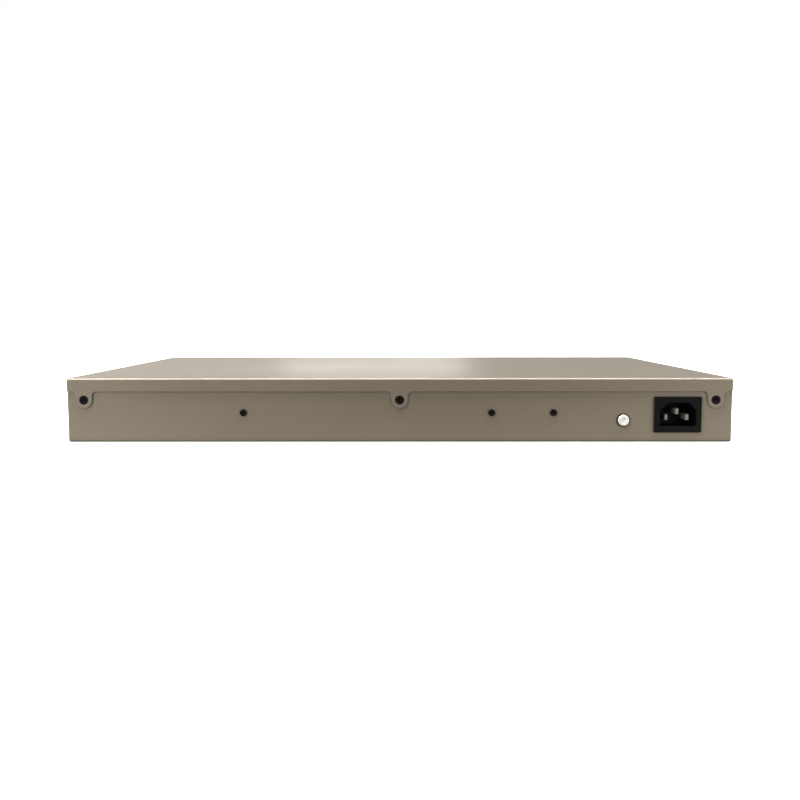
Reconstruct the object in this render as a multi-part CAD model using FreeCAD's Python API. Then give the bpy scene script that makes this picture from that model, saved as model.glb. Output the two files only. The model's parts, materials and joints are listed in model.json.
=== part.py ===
"""Rackmount network switch, one rack unit high, as an assembly of separate pieces.

Frame: millimetres, +Z up, origin at the middle of the footprint on the underside.
The port side faces -Y and the mains side faces +Y. Each function makes one sub-part or
one group of like sub-parts, and main() writes one STEP file per node into parts/.

The enclosure is three folded steel pieces: a tray (floor, back and sides), a shallow front
pan that carries the ports, and a cover whose short skirts lap over the tray. The tray's
side walls step inwards near the top, so that the cover's side skirts lie flush with them.
"""

import FreeCAD, Part
import math
import os

Vector = FreeCAD.Vector
Placement = FreeCAD.Placement
Rotation = FreeCAD.Rotation

# ---------------------------------------------------------------- driving dimensions
WIDTH = 440.0  # outside of the side walls
DEPTH = 284.0  # front face to the back of the cover's rear skirt
HEIGHT = 42.5  # underside to the top of the cover
SHEET = 1.0  # steel thickness
FIT = 0.1  # gap between folded pieces that lap
BEND = 1.2  # outside radius of the folds
CORNER = 1.4  # outside radius of the cover's upright corners
PAN_DEPTH = 8.0  # how far the front pan's edges return

HALF_W = WIDTH / 2
FRONT_Y = -DEPTH / 2
SKIRT_Y = DEPTH / 2
REAR_Y = SKIRT_Y - SHEET - FIT  # outer face of the tray's back wall
REAR_IN = REAR_Y - SHEET
SEAM_Y = FRONT_Y + PAN_DEPTH  # where the pan ends and the tray and cover start
COVER_IN = HEIGHT - SHEET  # underside of the cover
TRAY_TOP = COVER_IN - 0.3
STEP_X = HALF_W - SHEET - FIT  # outer face of the stepped-in upper side wall
STEP_Z = 33.4
FOOT_X, FOOT_Y, FOOT_R, FOOT_DEPTH = 190.0, 105.0, 8.0, 0.4  # shallow seats for stick-on feet
PAN_CLEAR = 0.6  # from the front sheet's back to the tray's lugs

# cover skirt and its screw tabs
SKIRT_Z = 33.7
TAB_R = 5.4
TAB_FILLET = 3.2
TAB_X = (-208.7, 0.0, 208.7)
TAB_Z = 28.0
COVER_HEAD_R = 3.05
COVER_HEAD_DEPTH = 1.5
M3_R = 1.5
HOLE_GAP = 0.05  # radial room round a screw's shank

# small screws on the back that hold inner brackets
BRACKET_SCREW_X = (103.5, -60.9, -101.8)
BRACKET_SCREW_Z = 19.6

# chassis earth
EARTH_X, EARTH_Z = -148.0, 14.5
M4_R = 2.0
EARTH_HEAD_R = 3.7
EARTH_HEAD_H = 1.9
LOCK_WASHER_R = 4.5
LOCK_WASHER_T = 0.5
LUG_T = 0.8
EARTH_NUT_H = 3.0

# mains inlet
INLET_X, INLET_Z = -183.8, 18.3
FLANGE_W, FLANGE_H, FLANGE_T = 31.0, 23.8, 2.0
INLET_BODY_W, INLET_BODY_H = 27.0, 20.0
INLET_BACK_Y = 121.0
INLET_GAP = 0.2  # room round the body in the back wall
RECESS_W, RECESS_H, RECESS_CHAMFER = 24.0, 15.9, 5.2
RECESS_DEPTH = 17.0
BLADE_W, BLADE_H = 2.0, 4.0
LINE_PIN_DX = 7.0
LINE_PIN_Z = INLET_Z - 2.0
EARTH_PIN_Z = INLET_Z + 2.0
LINE_PIN_SETBACK = 3.2  # from the flange's face to the tips
EARTH_PIN_SETBACK = 2.4
TAG_END_Y = INLET_BACK_Y - 8
LEAD_R = 1.2

# boards
BOARD_Z = 6.0
BOARD_T = 1.6
BOARD_TOP = BOARD_Z + BOARD_T
STANDOFF_R = 3.0
MAIN_BOARD = (-208.0, 190.0, -139.6, -12.0)
PSU_BOARD = (-208.0, -50.0, -6.0, 104.0)
PSU_HOLES = ((-202.0, 0.0), (-202.0, 98.0), (-56.0, 0.0), (-56.0, 98.0))
MAIN_HOLES = (
    (-200.0, -128.0), (-200.0, -18.0), (-100.0, -100.0), (-100.0, -30.0),
    (16.5, -100.0), (10.0, -18.0), (110.0, -100.0), (110.0, -30.0), (184.0, -128.0), (184.0, -40.0),
)
AC_BLOCK = (-195.0, -174.6, 78.0, 88.0, BOARD_TOP, BOARD_TOP + 7.0)
TRANSFORMER = (-132.0, 40.0, BOARD_TOP + 3.0)  # the core's lowest corner
PSU_SINKS = ((-140.0, -104.0, 82.0, 94.0), (-104.0, -84.0, 14.0, 26.0))
HARNESS_X = [-98.0 + 4.0 * k for k in range(6)]
HARNESS_PSU_Y, HARNESS_MAIN_Y = -1.0, -19.0
HARNESS_TOP = BOARD_TOP + 9.0
CHIP_X, CHIP_Y = 20.0, -62.0
CHIP_FINS, CHIP_FIN_PITCH, CHIP_FIN_T, CHIP_FIN_H = 11, 4.2, 1.4, 15.0

# network sockets
PITCH = 14.0
SOCKET_W = 11.9
SOCKET_H = 6.9
LATCH_W, LATCH_H = 6.2, 1.9
SOCKET_DEPTH = 13.0
SHELF = 1.9  # half of the wall between the two rows
JACK_H = 26.0
JACK_DEPTH = 24.5
JACK_SIDE = 0.8  # wall outside the end columns
SHIELD_T = 0.3
PANEL_GAP = 0.3  # room round what shows through the front sheet
JACK_FRONT_Y = FRONT_Y - 0.3
JACK_MID_Z = BOARD_TOP + JACK_H / 2
CONTACTS = 8
CONTACT_PITCH = 1.02
CONTACT_W = 0.45
JACK_BLOCKS = {"left": (-29.0, 6), "right": (61.5, 6), "uplink": (124.0, 1)}

# small form-factor cages
CAGE_X = (146.0, 162.5)
CAGE_W, CAGE_H, CAGE_L, CAGE_T = 14.2, 9.8, 48.0, 0.3
CAGE_FRONT_Y = FRONT_Y - 0.6

# indicators and controls on the front
LED_COLUMNS = 13
LED_PITCH = 6.0
LED_FIRST_X = -198.0
LED_Z = (15.0, 21.0)
LED_R = 1.5
OVERLAY_T = 0.25
BUTTON_X, CONTROL_Z, BUTTON_R, BUTTON_TRAVEL = -92.0, 18.0, 1.9, 0.6
SLIDER_X, SLIDER_W, SLIDER_H, SLIDER_TRAVEL = -105.0, 3.0, 2.8, 4.0
CONTROL_BACK_Y = FRONT_Y + 3.4  # front face of the switches' bodies

# fans
FAN_SIZE = 40.0
FAN_T = 20.0
FAN_Y = (44.0, 92.0)
FAN_Z = SHEET + 0.2 + FAN_SIZE / 2
FAN_OUT_X = STEP_X - SHEET - 0.2  # outlet face
FAN_IN_X = FAN_OUT_X - FAN_T
FAN_HOLE = 16.0  # half of the screw spacing
DUCT_R = 18.6
HUB_R = 11.0
BLADES = 7
HUB_BACK = 3.0  # from the outlet face to the hub's open end
HUB_LENGTH = 12.5
BUSH_R = 1.8
SHAFT_R = 1.0
TUBE_R = 2.8
FAN_HEADER_X = (182.0, 174.0)
FAN_HEADER_Y = -20.0

# side walls
EAR_HOLE_R = 1.65
EAR_Y, EAR_Z = -108.0, 18.0
EAR_DY, EAR_DZ = 30.0, 20.0
CLINCH_R, CLINCH_T = 3.2, 1.6
PAN_SCREW_Z = (9.0, 27.0)
PAN_SCREW_X = (-150.0, 0.0, 150.0)
PAN_SCREW_Y = FRONT_Y + 4.6
TONGUE_Y, TONGUE_HALF = -4.0, 4.0  # middle and half length of the locating tongue on each side wall

OUT = "parts"


# ---------------------------------------------------------------- shape helpers
def box(x0, x1, y0, y1, z0, z1):
    return Part.makeBox(x1 - x0, y1 - y0, z1 - z0, Vector(x0, y0, z0))


def cyl_x(y, z, x0, x1, r):
    return Part.makeCylinder(r, x1 - x0, Vector(x0, y, z), Vector(1, 0, 0))


def cyl_y(x, z, y0, y1, r):
    return Part.makeCylinder(r, y1 - y0, Vector(x, y0, z), Vector(0, 1, 0))


def cyl_z(x, y, z0, z1, r):
    return Part.makeCylinder(r, z1 - z0, Vector(x, y, z0), Vector(0, 0, 1))


def fillet_where(shape, radius, wanted):
    """Rounds the edges whose midpoint passes the test."""
    edges = [e for e in shape.Edges if wanted(e.BoundBox.Center, e)]
    return shape.makeFillet(radius, edges)


def runs_along(edge, axis):
    b = edge.BoundBox
    spans = {"x": b.XLength, "y": b.YLength, "z": b.ZLength}
    return all(spans[k] < 1e-6 for k in spans if k != axis)


def prism_y(points, y0, y1):
    """A closed outline of (x, z) points, extruded along Y."""
    wire = Part.makePolygon([Vector(x, y0, z) for x, z in points + points[:1]])
    return Part.Face(wire).extrude(Vector(0, y1 - y0, 0))


def prism_x(points, x0, x1):
    """A closed outline of (y, z) points, extruded along X."""
    wire = Part.makePolygon([Vector(x0, y, z) for y, z in points + points[:1]])
    return Part.Face(wire).extrude(Vector(x1 - x0, 0, 0))


def slot_x(y, z0, z1, half_width, x0, x1):
    """An upright slot with round ends, cut along X."""
    middle = box(x0, x1, y - half_width, y + half_width, z0 + half_width, z1 - half_width)
    ends = [cyl_x(y, z, x0, x1, half_width) for z in (z0 + half_width, z1 - half_width)]
    return middle.fuse(ends)


def one(shapes):
    """Several overlapping or touching shapes as one solid."""
    fused = shapes[0].fuse(shapes[1:]) if len(shapes) > 1 else shapes[0]
    return fused.removeSplitter()


def group(shapes):
    """Separate solids kept in one node."""
    return Part.makeCompound([s for shape in shapes for s in shape.Solids])


def turned(shape, axis, degrees):
    """A copy of a shape that was drawn at the origin, turned about an axis."""
    copy = shape.copy()
    copy.rotate(Vector(0, 0, 0), axis, degrees)
    return copy


def moved(shape, x, y, z):
    copy = shape.copy()
    copy.translate(Vector(x, y, z))
    return copy


def pointing(shape, direction):
    """A copy of a shape drawn along +Z at the origin, turned to point along direction."""
    copy = shape.copy()
    copy.Placement = Placement(Vector(0, 0, 0), Rotation(Vector(0, 0, 1), Vector(*direction)))
    return copy


def tube_along(points, radius, bend):
    """A round lead: straight runs joined by tangent arcs of one bend radius."""
    pts = [Vector(*p) for p in points]
    edges = []
    start = pts[0]
    for before, at, after in zip(pts, pts[1:], pts[2:]):
        a = (before - at).normalize()
        b = (after - at).normalize()
        half = a.getAngle(b) / 2
        back = bend / math.tan(half)
        p, q = at + a * back, at + b * back
        inward = (a + b).normalize()
        middle = at + inward * (bend / math.sin(half) - bend)
        edges.append(Part.makeLine(start, p))
        edges.append(Part.Arc(p, middle, q).toShape())
        start = q
    edges.append(Part.makeLine(start, pts[-1]))
    path = Part.Wire(edges)
    ring = Part.Wire(Part.makeCircle(radius, pts[0], pts[1] - pts[0]))
    return path.makePipeShell([ring], True, True)


def cross_recess(radius, depth, width):
    """A cutter for a cross-shaped driver recess, open at z = 0 and going down."""
    arms = [
        box(-radius, radius, -width / 2, width / 2, -depth, 1.0),
        box(-width / 2, width / 2, -radius, radius, -depth, 1.0),
    ]
    taper = Part.makeCone(radius * 0.35, radius + 0.05, depth + 0.05, Vector(0, 0, -depth))
    core = Part.makeCone(width * 0.3, width * 0.75, depth, Vector(0, 0, -depth))
    return one(arms).common(taper).fuse(core)


def flat_screw(shank_r, head_r, head_depth, length):
    """A countersunk screw whose head is flush with z = 0 and whose shank points down."""
    head = Part.makeCone(shank_r, head_r, head_depth, Vector(0, 0, -head_depth))
    shank = cyl_z(0, 0, -length, -head_depth + 0.01, shank_r)
    return one([head, shank]).cut(cross_recess(head_r * 0.58, 1.1, 0.75))


def pan_screw(shank_r, head_r, head_h, length):
    """A pan-head screw sitting on z = 0, shank down."""
    head = cyl_z(0, 0, 0, head_h, head_r)
    head = fillet_where(head, head_h * 0.42, lambda c, e: c.z > head_h - 0.01 and len(e.Vertexes) == 1)
    shank = cyl_z(0, 0, -length, 0.01, shank_r)
    recess = moved(cross_recess(head_r * 0.55, head_h * 0.62, head_r * 0.26), 0, 0, head_h)
    return one([head, shank]).cut(recess)


def hex_nut(bore_r, across_flats, height):
    """A nut standing on z = 0."""
    corner = across_flats / math.sqrt(3)
    points = [
        Vector(corner * math.cos(math.radians(60 * k)), corner * math.sin(math.radians(60 * k)), 0)
        for k in range(6)
    ]
    face = Part.Face(Part.makePolygon(points + points[:1]))
    return face.extrude(Vector(0, 0, height)).cut(cyl_z(0, 0, -1, height + 1, bore_r))


# ---------------------------------------------------------------- front layout shared by pieces
def led_places():
    return [(LED_FIRST_X + LED_PITCH * k, z) for k in range(LED_COLUMNS) for z in LED_Z]


def jack_span(name):
    """Lowest and highest x of a socket block's shield."""
    x, columns = JACK_BLOCKS[name]
    half = columns * PITCH / 2 + JACK_SIDE + SHIELD_T
    return x - half, x + half


def front_windows(margin, y0, y1):
    """Cutters for everything that shows through the front, with a margin all round."""
    cuts = []
    for name in JACK_BLOCKS:
        x0, x1 = jack_span(name)
        top = BOARD_TOP + JACK_H + SHIELD_T
        cuts.append(box(x0 - margin, x1 + margin, y0, y1, BOARD_TOP - margin, top + margin))
    for x in CAGE_X:
        half = CAGE_W / 2 + margin
        cuts.append(box(x - half, x + half, y0, y1, BOARD_TOP - margin, BOARD_TOP + CAGE_H + margin))
    cuts += [cyl_y(x, z, y0, y1, LED_R + margin / 2) for x, z in led_places()]
    cuts.append(cyl_y(BUTTON_X, CONTROL_Z, y0, y1, BUTTON_R + margin))
    half_z = SLIDER_H / 2 + margin
    cuts.append(
        box(
            SLIDER_X - SLIDER_W / 2 - margin,
            SLIDER_X + SLIDER_W / 2 + SLIDER_TRAVEL + margin,
            y0,
            y1,
            CONTROL_Z - half_z,
            CONTROL_Z + half_z,
        )
    )
    return cuts


def pan_screw_places():
    """Where the front pan is screwed down: (point on the outer face, inward direction)."""
    sides = [((s * HALF_W, PAN_SCREW_Y, z), (-s, 0, 0)) for s in (-1, 1) for z in PAN_SCREW_Z]
    floor = [((x, PAN_SCREW_Y, 0.0), (0, 0, 1)) for x in PAN_SCREW_X]
    return sides + floor


# ---------------------------------------------------------------- enclosure
def fan_grille(y_centre):
    """Round holes on a hexagonal pitch over a fan's duct, below the cover's skirt."""
    pitch, hole_r = 4.6, 1.6
    holes = []
    for row in range(-4, 5):
        z = FAN_Z + row * pitch * math.sqrt(3) / 2
        shift = pitch / 2 if row % 2 else 0.0
        for column in range(-5, 6):
            y = column * pitch + shift
            if math.hypot(y, z - FAN_Z) < DUCT_R - hole_r and z < STEP_Z - 3.2:
                holes.append(cyl_x(y_centre + y, z, HALF_W - 3, HALF_W + 1, hole_r))
    return holes


def intake_slots():
    """Upright slots in the wall beside the power supply, in three banks."""
    slots = []
    for bank_y in (14.0, 56.0, 98.0):
        for k in range(6):
            slots.append(slot_x(bank_y + 5.0 * k, 6.0, 28.0, 1.2, -HALF_W - 1, -HALF_W + 3))
    return slots


def ear_hole_places(side):
    return [
        (side * HALF_W, EAR_Y + dy * EAR_DY / 2, EAR_Z + dz * EAR_DZ / 2)
        for dy in (-1, 1)
        for dz in (-1, 1)
    ]


def base_tray():
    lower = box(-HALF_W, HALF_W, SEAM_Y, REAR_Y, 0, STEP_Z)

    def folded(c, e):
        at_rear = c.y > REAR_Y - 0.01
        return (c.z < 0.01 and (runs_along(e, "y") or at_rear)) or (runs_along(e, "z") and at_rear)

    lower = fillet_where(lower, BEND - 0.2, folded)
    upper = box(-STEP_X, STEP_X, SEAM_Y, REAR_Y, STEP_Z - 1, TRAY_TOP)
    upper = fillet_where(upper, BEND - 0.2, lambda c, e: runs_along(e, "z") and c.y > REAR_Y - 0.01)
    outside = lower.fuse(upper)
    hollow_low = box(-HALF_W + SHEET, HALF_W - SHEET, SEAM_Y - 1, REAR_IN, SHEET, STEP_Z - SHEET)
    hollow_high = box(-STEP_X + SHEET, STEP_X - SHEET, SEAM_Y - 1, REAR_IN, STEP_Z - 2, HEIGHT)
    tray = outside.cut([hollow_low, hollow_high])

    lugs = []
    for side in (-1, 1):
        inner, outer = sorted((side * (HALF_W - SHEET), side * (HALF_W - 2 * SHEET)))
        lugs.append(box(inner, outer, FRONT_Y + SHEET + PAN_CLEAR, SEAM_Y + 6, 4.0, 31.0))
        inner, outer = sorted((side * (STEP_X - SHEET), side * STEP_X))
        low_y, high_y = TONGUE_Y - TONGUE_HALF, TONGUE_Y + TONGUE_HALF
        lugs.append(box(inner, outer, low_y, high_y, TRAY_TOP - 1, HEIGHT - 0.1))
    for x in PAN_SCREW_X:
        lugs.append(box(x - 20, x + 20, FRONT_Y + SHEET + PAN_CLEAR, SEAM_Y + 6, SHEET, 2 * SHEET))
    tray = tray.fuse(lugs)

    cuts = [
        box(
            INLET_X - INLET_BODY_W / 2 - INLET_GAP,
            INLET_X + INLET_BODY_W / 2 + INLET_GAP,
            REAR_IN - 1,
            REAR_Y + 1,
            INLET_Z - INLET_BODY_H / 2 - INLET_GAP,
            INLET_Z + INLET_BODY_H / 2 + INLET_GAP,
        ),
        cyl_y(EARTH_X, EARTH_Z, REAR_IN - 1, REAR_Y + 1, M4_R + HOLE_GAP),
    ]
    cuts += [cyl_y(x, TAB_Z, REAR_IN - 1, REAR_Y + 1, 2.05) for x in TAB_X]
    cuts += [
        cyl_y(x, BRACKET_SCREW_Z, REAR_IN - 1, REAR_Y + 1, 1.25 + HOLE_GAP)
        for x in BRACKET_SCREW_X
    ]
    for side in (-1, 1):
        x0, x1 = sorted((side * (HALF_W - 3), side * (HALF_W + 1)))
        cuts += [cyl_x(y, z, x0, x1, EAR_HOLE_R) for _, y, z in ear_hole_places(side)]
    for y in FAN_Y:
        cuts += fan_grille(y)
        for dy in (-FAN_HOLE, FAN_HOLE):
            cuts.append(cyl_x(y + dy, FAN_Z - FAN_HOLE, HALF_W - 3, HALF_W + 1, 1.6))
    cuts += intake_slots()
    feet = [(x, y) for x in (-FOOT_X, FOOT_X) for y in (-FOOT_Y, FOOT_Y)]
    cuts += [cyl_z(x, y, -1, FOOT_DEPTH, FOOT_R) for x, y in feet]
    for (x, y, z), (dx, _, dz) in pan_screw_places():
        start = Vector(x, y, z) - Vector(dx, 0, dz)
        cuts.append(Part.makeCylinder(M3_R + HOLE_GAP, 4, start, Vector(dx, 0, dz)))
    return tray.cut(cuts).removeSplitter()


def tab_outline(x):
    """The skirt's screw tab at x as a solid that crosses the rear skirt."""
    left, right = x - TAB_R, x + TAB_R
    low = SKIRT_Z - TAB_FILLET
    y0 = REAR_Y - 5

    def p(px, pz):
        return Vector(px, y0, pz)

    def arc(cx, cz, r, *degrees):
        turns = [math.radians(d) for d in degrees]
        at = [p(cx + r * math.cos(t), cz + r * math.sin(t)) for t in turns]
        return Part.Arc(*at).toShape()

    up = SKIRT_Z + 1
    edges = [
        Part.makeLine(p(left - TAB_FILLET, up), p(left - TAB_FILLET, SKIRT_Z)),
        arc(left - TAB_FILLET, low, TAB_FILLET, 90, 45, 0),
        Part.makeLine(p(left, low), p(left, TAB_Z)),
        arc(x, TAB_Z, TAB_R, 180, 270, 360),
        Part.makeLine(p(right, TAB_Z), p(right, low)),
        arc(right + TAB_FILLET, low, TAB_FILLET, 180, 135, 90),
        Part.makeLine(p(right + TAB_FILLET, SKIRT_Z), p(right + TAB_FILLET, up)),
        Part.makeLine(p(right + TAB_FILLET, up), p(left - TAB_FILLET, up)),
    ]
    return Part.Face(Part.Wire(edges)).extrude(Vector(0, 12, 0))


def top_cover():
    def block(inset, fold, corner, y0, bottom):
        b = box(-HALF_W + inset, HALF_W - inset, y0, SKIRT_Y - inset, bottom, HEIGHT - inset)
        b = fillet_where(b, corner, lambda c, e: runs_along(e, "z") and c.y > SKIRT_Y - inset - 0.01)

        def folded(c, e):
            return abs(c.z - (HEIGHT - inset)) < 0.01 and not (runs_along(e, "x") and c.y < 0)

        return fillet_where(b, fold, folded)

    outer = block(0.0, BEND, CORNER, SEAM_Y + 0.2, TAB_Z - 10)
    inner = block(SHEET, BEND - SHEET, CORNER - SHEET, SEAM_Y - 4, TAB_Z - 12)
    shell = outer.cut(inner)
    keep = box(-HALF_W - 1, HALF_W + 1, FRONT_Y, SKIRT_Y + 1, SKIRT_Z, HEIGHT + 1)
    cover = shell.common(keep.fuse([tab_outline(x) for x in TAB_X]))

    hooks = []
    for x in (-165.0, -55.0, 55.0, 165.0):
        hooks.append(box(x - 15, x + 15, SEAM_Y + 0.2, SEAM_Y + 3.0, COVER_IN - 1.15, COVER_IN))
        hooks.append(box(x - 15, x + 15, SEAM_Y - 5.0, SEAM_Y + 3.0, COVER_IN - 1.15, COVER_IN - 0.15))
    cover = cover.fuse(hooks)

    cuts = []
    for x in TAB_X:
        cuts.append(
            Part.makeCone(
                M3_R + HOLE_GAP,
                COVER_HEAD_R + HOLE_GAP + 0.1,
                COVER_HEAD_DEPTH + 0.1,
                Vector(x, SKIRT_Y - COVER_HEAD_DEPTH, TAB_Z),
                Vector(0, 1, 0),
            )
        )
    for side in (-1, 1):
        x0, x1 = sorted((side * (STEP_X - SHEET - 0.15), side * (STEP_X + 0.15)))
        reach = TONGUE_HALF + 0.6
        cuts.append(box(x0, x1, TONGUE_Y - reach, TONGUE_Y + reach, COVER_IN - 1, HEIGHT + 1))
    return cover.cut(cuts).removeSplitter()


def uplink_web(y0, y1):
    """The front sheet's bars between the uplink sockets and the cages, and their joint window."""
    low_x, socket_x = (x + s * PANEL_GAP for x, s in zip(jack_span("uplink"), (-1, 1)))
    bottom = BOARD_TOP - PANEL_GAP
    top = BOARD_TOP + JACK_H + SHIELD_T + PANEL_GAP
    cage_top = BOARD_TOP + CAGE_H + PANEL_GAP
    edges = [x + s * (CAGE_W / 2 + PANEL_GAP) for x in CAGE_X for s in (-1, 1)]
    bars = [
        box(socket_x, edges[0], y0, y1, bottom, top),
        box(edges[1], edges[2], y0, y1, bottom, cage_top),
        box(edges[0], edges[3], y0, y1, cage_top, top),
    ]
    return bars, box(low_x, edges[3], y0 - 1, y1 + 1, bottom, top)


def front_panel():
    def block(inset, radius, y1):
        b = box(-HALF_W + inset, HALF_W - inset, FRONT_Y + inset, y1, inset, HEIGHT - inset)
        b = fillet_where(b, radius, lambda c, e: runs_along(e, "y"))
        return fillet_where(b, radius * 0.8, lambda c, e: abs(c.y - (FRONT_Y + inset)) < 0.01)

    pan = block(0.0, BEND, SEAM_Y).cut(block(SHEET, BEND - SHEET, SEAM_Y + 5))
    bars, window = uplink_web(FRONT_Y, FRONT_Y + SHEET)
    cuts = front_windows(PANEL_GAP, FRONT_Y - 1, FRONT_Y + SHEET + 1) + [window]
    for (x, y, z), (dx, _, dz) in pan_screw_places():
        mouth = Vector(x, y, z) - Vector(dx, 0, dz) * 0.1
        cone = Part.makeCone(2.85, M3_R + 0.1, 1.35, mouth, Vector(dx, 0, dz))
        cuts.append(cone)
    return group([pan.cut(cuts).removeSplitter()] + bars)


def front_overlay():
    film = box(-213, 213, FRONT_Y - OVERLAY_T, FRONT_Y, 3.5, 39.0)
    film = fillet_where(film, 2.0, lambda c, e: runs_along(e, "y"))
    return film.cut(front_windows(0.5, FRONT_Y - 1, FRONT_Y + 1)).removeSplitter()


def cover_screws():
    screw = pointing(flat_screw(M3_R, COVER_HEAD_R, COVER_HEAD_DEPTH, 6.0), (0, 1, 0))
    return group([moved(screw, x, SKIRT_Y, TAB_Z) for x in TAB_X])


def bracket_screws():
    screw = pointing(pan_screw(1.25, 2.3, 1.5, 4.6), (0, 1, 0))
    return group([moved(screw, x, REAR_Y, BRACKET_SCREW_Z) for x in BRACKET_SCREW_X])


def front_panel_screws():
    screws = []
    for (x, y, z), (dx, _, dz) in pan_screw_places():
        screws.append(moved(pointing(flat_screw(M3_R, 2.7, 0.95, 3.4), (-dx, 0, -dz)), x, y, z))
    return group(screws)


def clinch_nuts():
    """Clinch nuts behind the rack-ear holes and behind the back wall for the cover's screws."""
    nuts = [
        cyl_y(x, TAB_Z, REAR_IN - 2.4, REAR_IN, CLINCH_R).cut(
            cyl_y(x, TAB_Z, REAR_IN - 4, REAR_IN + 1, M3_R + HOLE_GAP)
        )
        for x in TAB_X
    ]
    for side in (-1, 1):
        inner = side * (HALF_W - SHEET)
        for _, y, z in ear_hole_places(side):
            x0, x1 = sorted((inner, inner - side * CLINCH_T))
            nuts.append(cyl_x(y, z, x0, x1, CLINCH_R).cut(cyl_x(y, z, x0 - 1, x1 + 1, EAR_HOLE_R)))
    return group(nuts)


# ---------------------------------------------------------------- chassis earth and mains inlet

def ground_screw():
    screw = pan_screw(M4_R, EARTH_HEAD_R, EARTH_HEAD_H, 8.6)
    screw = turned(screw, Vector(0, 0, 1), 24)
    return moved(pointing(screw, (0, 1, 0)), EARTH_X, REAR_Y + LOCK_WASHER_T, EARTH_Z)


def ground_washer():
    """A toothed lock washer: a ring with radial notches."""
    ring = cyl_y(0, 0, 0, LOCK_WASHER_T, LOCK_WASHER_R)
    notch = box(LOCK_WASHER_R - 0.6, LOCK_WASHER_R + 1, -1, 2, -0.35, 0.35)
    cuts = [turned(notch, Vector(0, 1, 0), 30 * k) for k in range(12)]
    ring = ring.cut(cuts + [cyl_y(0, 0, -1, 2, M4_R + HOLE_GAP)])
    return moved(ring, EARTH_X, REAR_Y, EARTH_Z)


def ground_nut():
    nut = pointing(hex_nut(M4_R + HOLE_GAP, 7.0, EARTH_NUT_H), (0, -1, 0))
    return moved(nut, EARTH_X, REAR_IN - LUG_T, EARTH_Z)


def recess_points():
    """The inlet's recess: a rectangle with its two upper corners cut off."""
    w, h, c = RECESS_W / 2, RECESS_H / 2, RECESS_CHAMFER
    return [
        (INLET_X + dx, INLET_Z + dz)
        for dx, dz in ((-w, -h), (w, -h), (w, h - c), (w - c, h), (c - w, h), (-w, h - c))
    ]


def inlet_housing():
    face = REAR_Y + FLANGE_T
    flange = box(
        INLET_X - FLANGE_W / 2, INLET_X + FLANGE_W / 2, REAR_Y, face,
        INLET_Z - FLANGE_H / 2, INLET_Z + FLANGE_H / 2,
    )
    flange = fillet_where(flange, 0.7, lambda c, e: runs_along(e, "y"))
    flange = fillet_where(flange, 0.35, lambda c, e: abs(c.y - face) < 0.01)
    body = box(
        INLET_X - INLET_BODY_W / 2, INLET_X + INLET_BODY_W / 2, INLET_BACK_Y, REAR_Y,
        INLET_Z - INLET_BODY_H / 2, INLET_Z + INLET_BODY_H / 2,
    )
    recess = prism_y(recess_points(), face - RECESS_DEPTH, face + 1)
    recess = fillet_where(recess, 0.9, lambda c, e: runs_along(e, "y"))
    housing = one([flange, body]).cut(recess)
    housing = fillet_where(
        housing, 0.3,
        lambda c, e: abs(c.y - face) < 0.01
        and abs(c.x - INLET_X) < RECESS_W / 2 + 0.2
        and abs(c.z - INLET_Z) < RECESS_H / 2 + 0.2,
    )
    clips = []
    for side in (-1, 1):  # snap-in wedges behind the panel
        x = INLET_X + side * INLET_BODY_W / 2
        tip = x + side * 1.6
        points = [(x, REAR_IN - 0.1), (tip, REAR_IN - 0.1), (x, REAR_IN - 7)]
        wire = Part.makePolygon([Vector(px, py, INLET_Z - 4) for px, py in points + points[:1]])
        clips.append(Part.Face(wire).extrude(Vector(0, 0, 8)))
    slots = [blade_slot(x, z) for x, z in pin_places()]
    return one([housing] + clips).cut(slots)


def pin_places():
    line_pins = [(INLET_X + s * LINE_PIN_DX, LINE_PIN_Z) for s in (-1, 1)]
    return line_pins + [(INLET_X, EARTH_PIN_Z)]


def blade_slot(x, z):
    """The slot in the inlet's floor that holds a pin."""
    return box(
        x - BLADE_W / 2, x + BLADE_W / 2, INLET_BACK_Y - 1, REAR_Y + FLANGE_T - RECESS_DEPTH + 0.5,
        z - BLADE_H / 2, z + BLADE_H / 2,
    )


def inlet_pin(x, z, setback):
    tip = REAR_Y + FLANGE_T - setback
    half_w, half_h = BLADE_W / 2, BLADE_H / 2
    blade = box(x - half_w, x + half_w, INLET_BACK_Y - 1, tip, z - half_h, z + half_h)
    blade = blade.makeChamfer(0.5, [e for e in blade.Edges if abs(e.BoundBox.Center.y - tip) < 0.01])
    tag = box(x - 0.4, x + 0.4, INLET_BACK_Y - 8, INLET_BACK_Y - 0.5, z - 2.0, z + 2.0)
    return one([blade, tag])


def inlet_pins():
    setbacks = (LINE_PIN_SETBACK, LINE_PIN_SETBACK, EARTH_PIN_SETBACK)
    return group([inlet_pin(x, z, back) for (x, z), back in zip(pin_places(), setbacks)])


def ac_leads():
    """Live and neutral leads from the inlet's tags down into the supply's terminal block."""
    leads = []
    for x, z in pin_places()[:2]:
        top = AC_BLOCK[5]
        route = [
            (x, TAG_END_Y, z), (x, 106.0, z), (x, 96.0, z + 7), (x, 83.0, z + 7), (x, 83.0, top),
        ]
        leads.append(tube_along(route, LEAD_R, 3.0))
    return group(leads)


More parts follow.
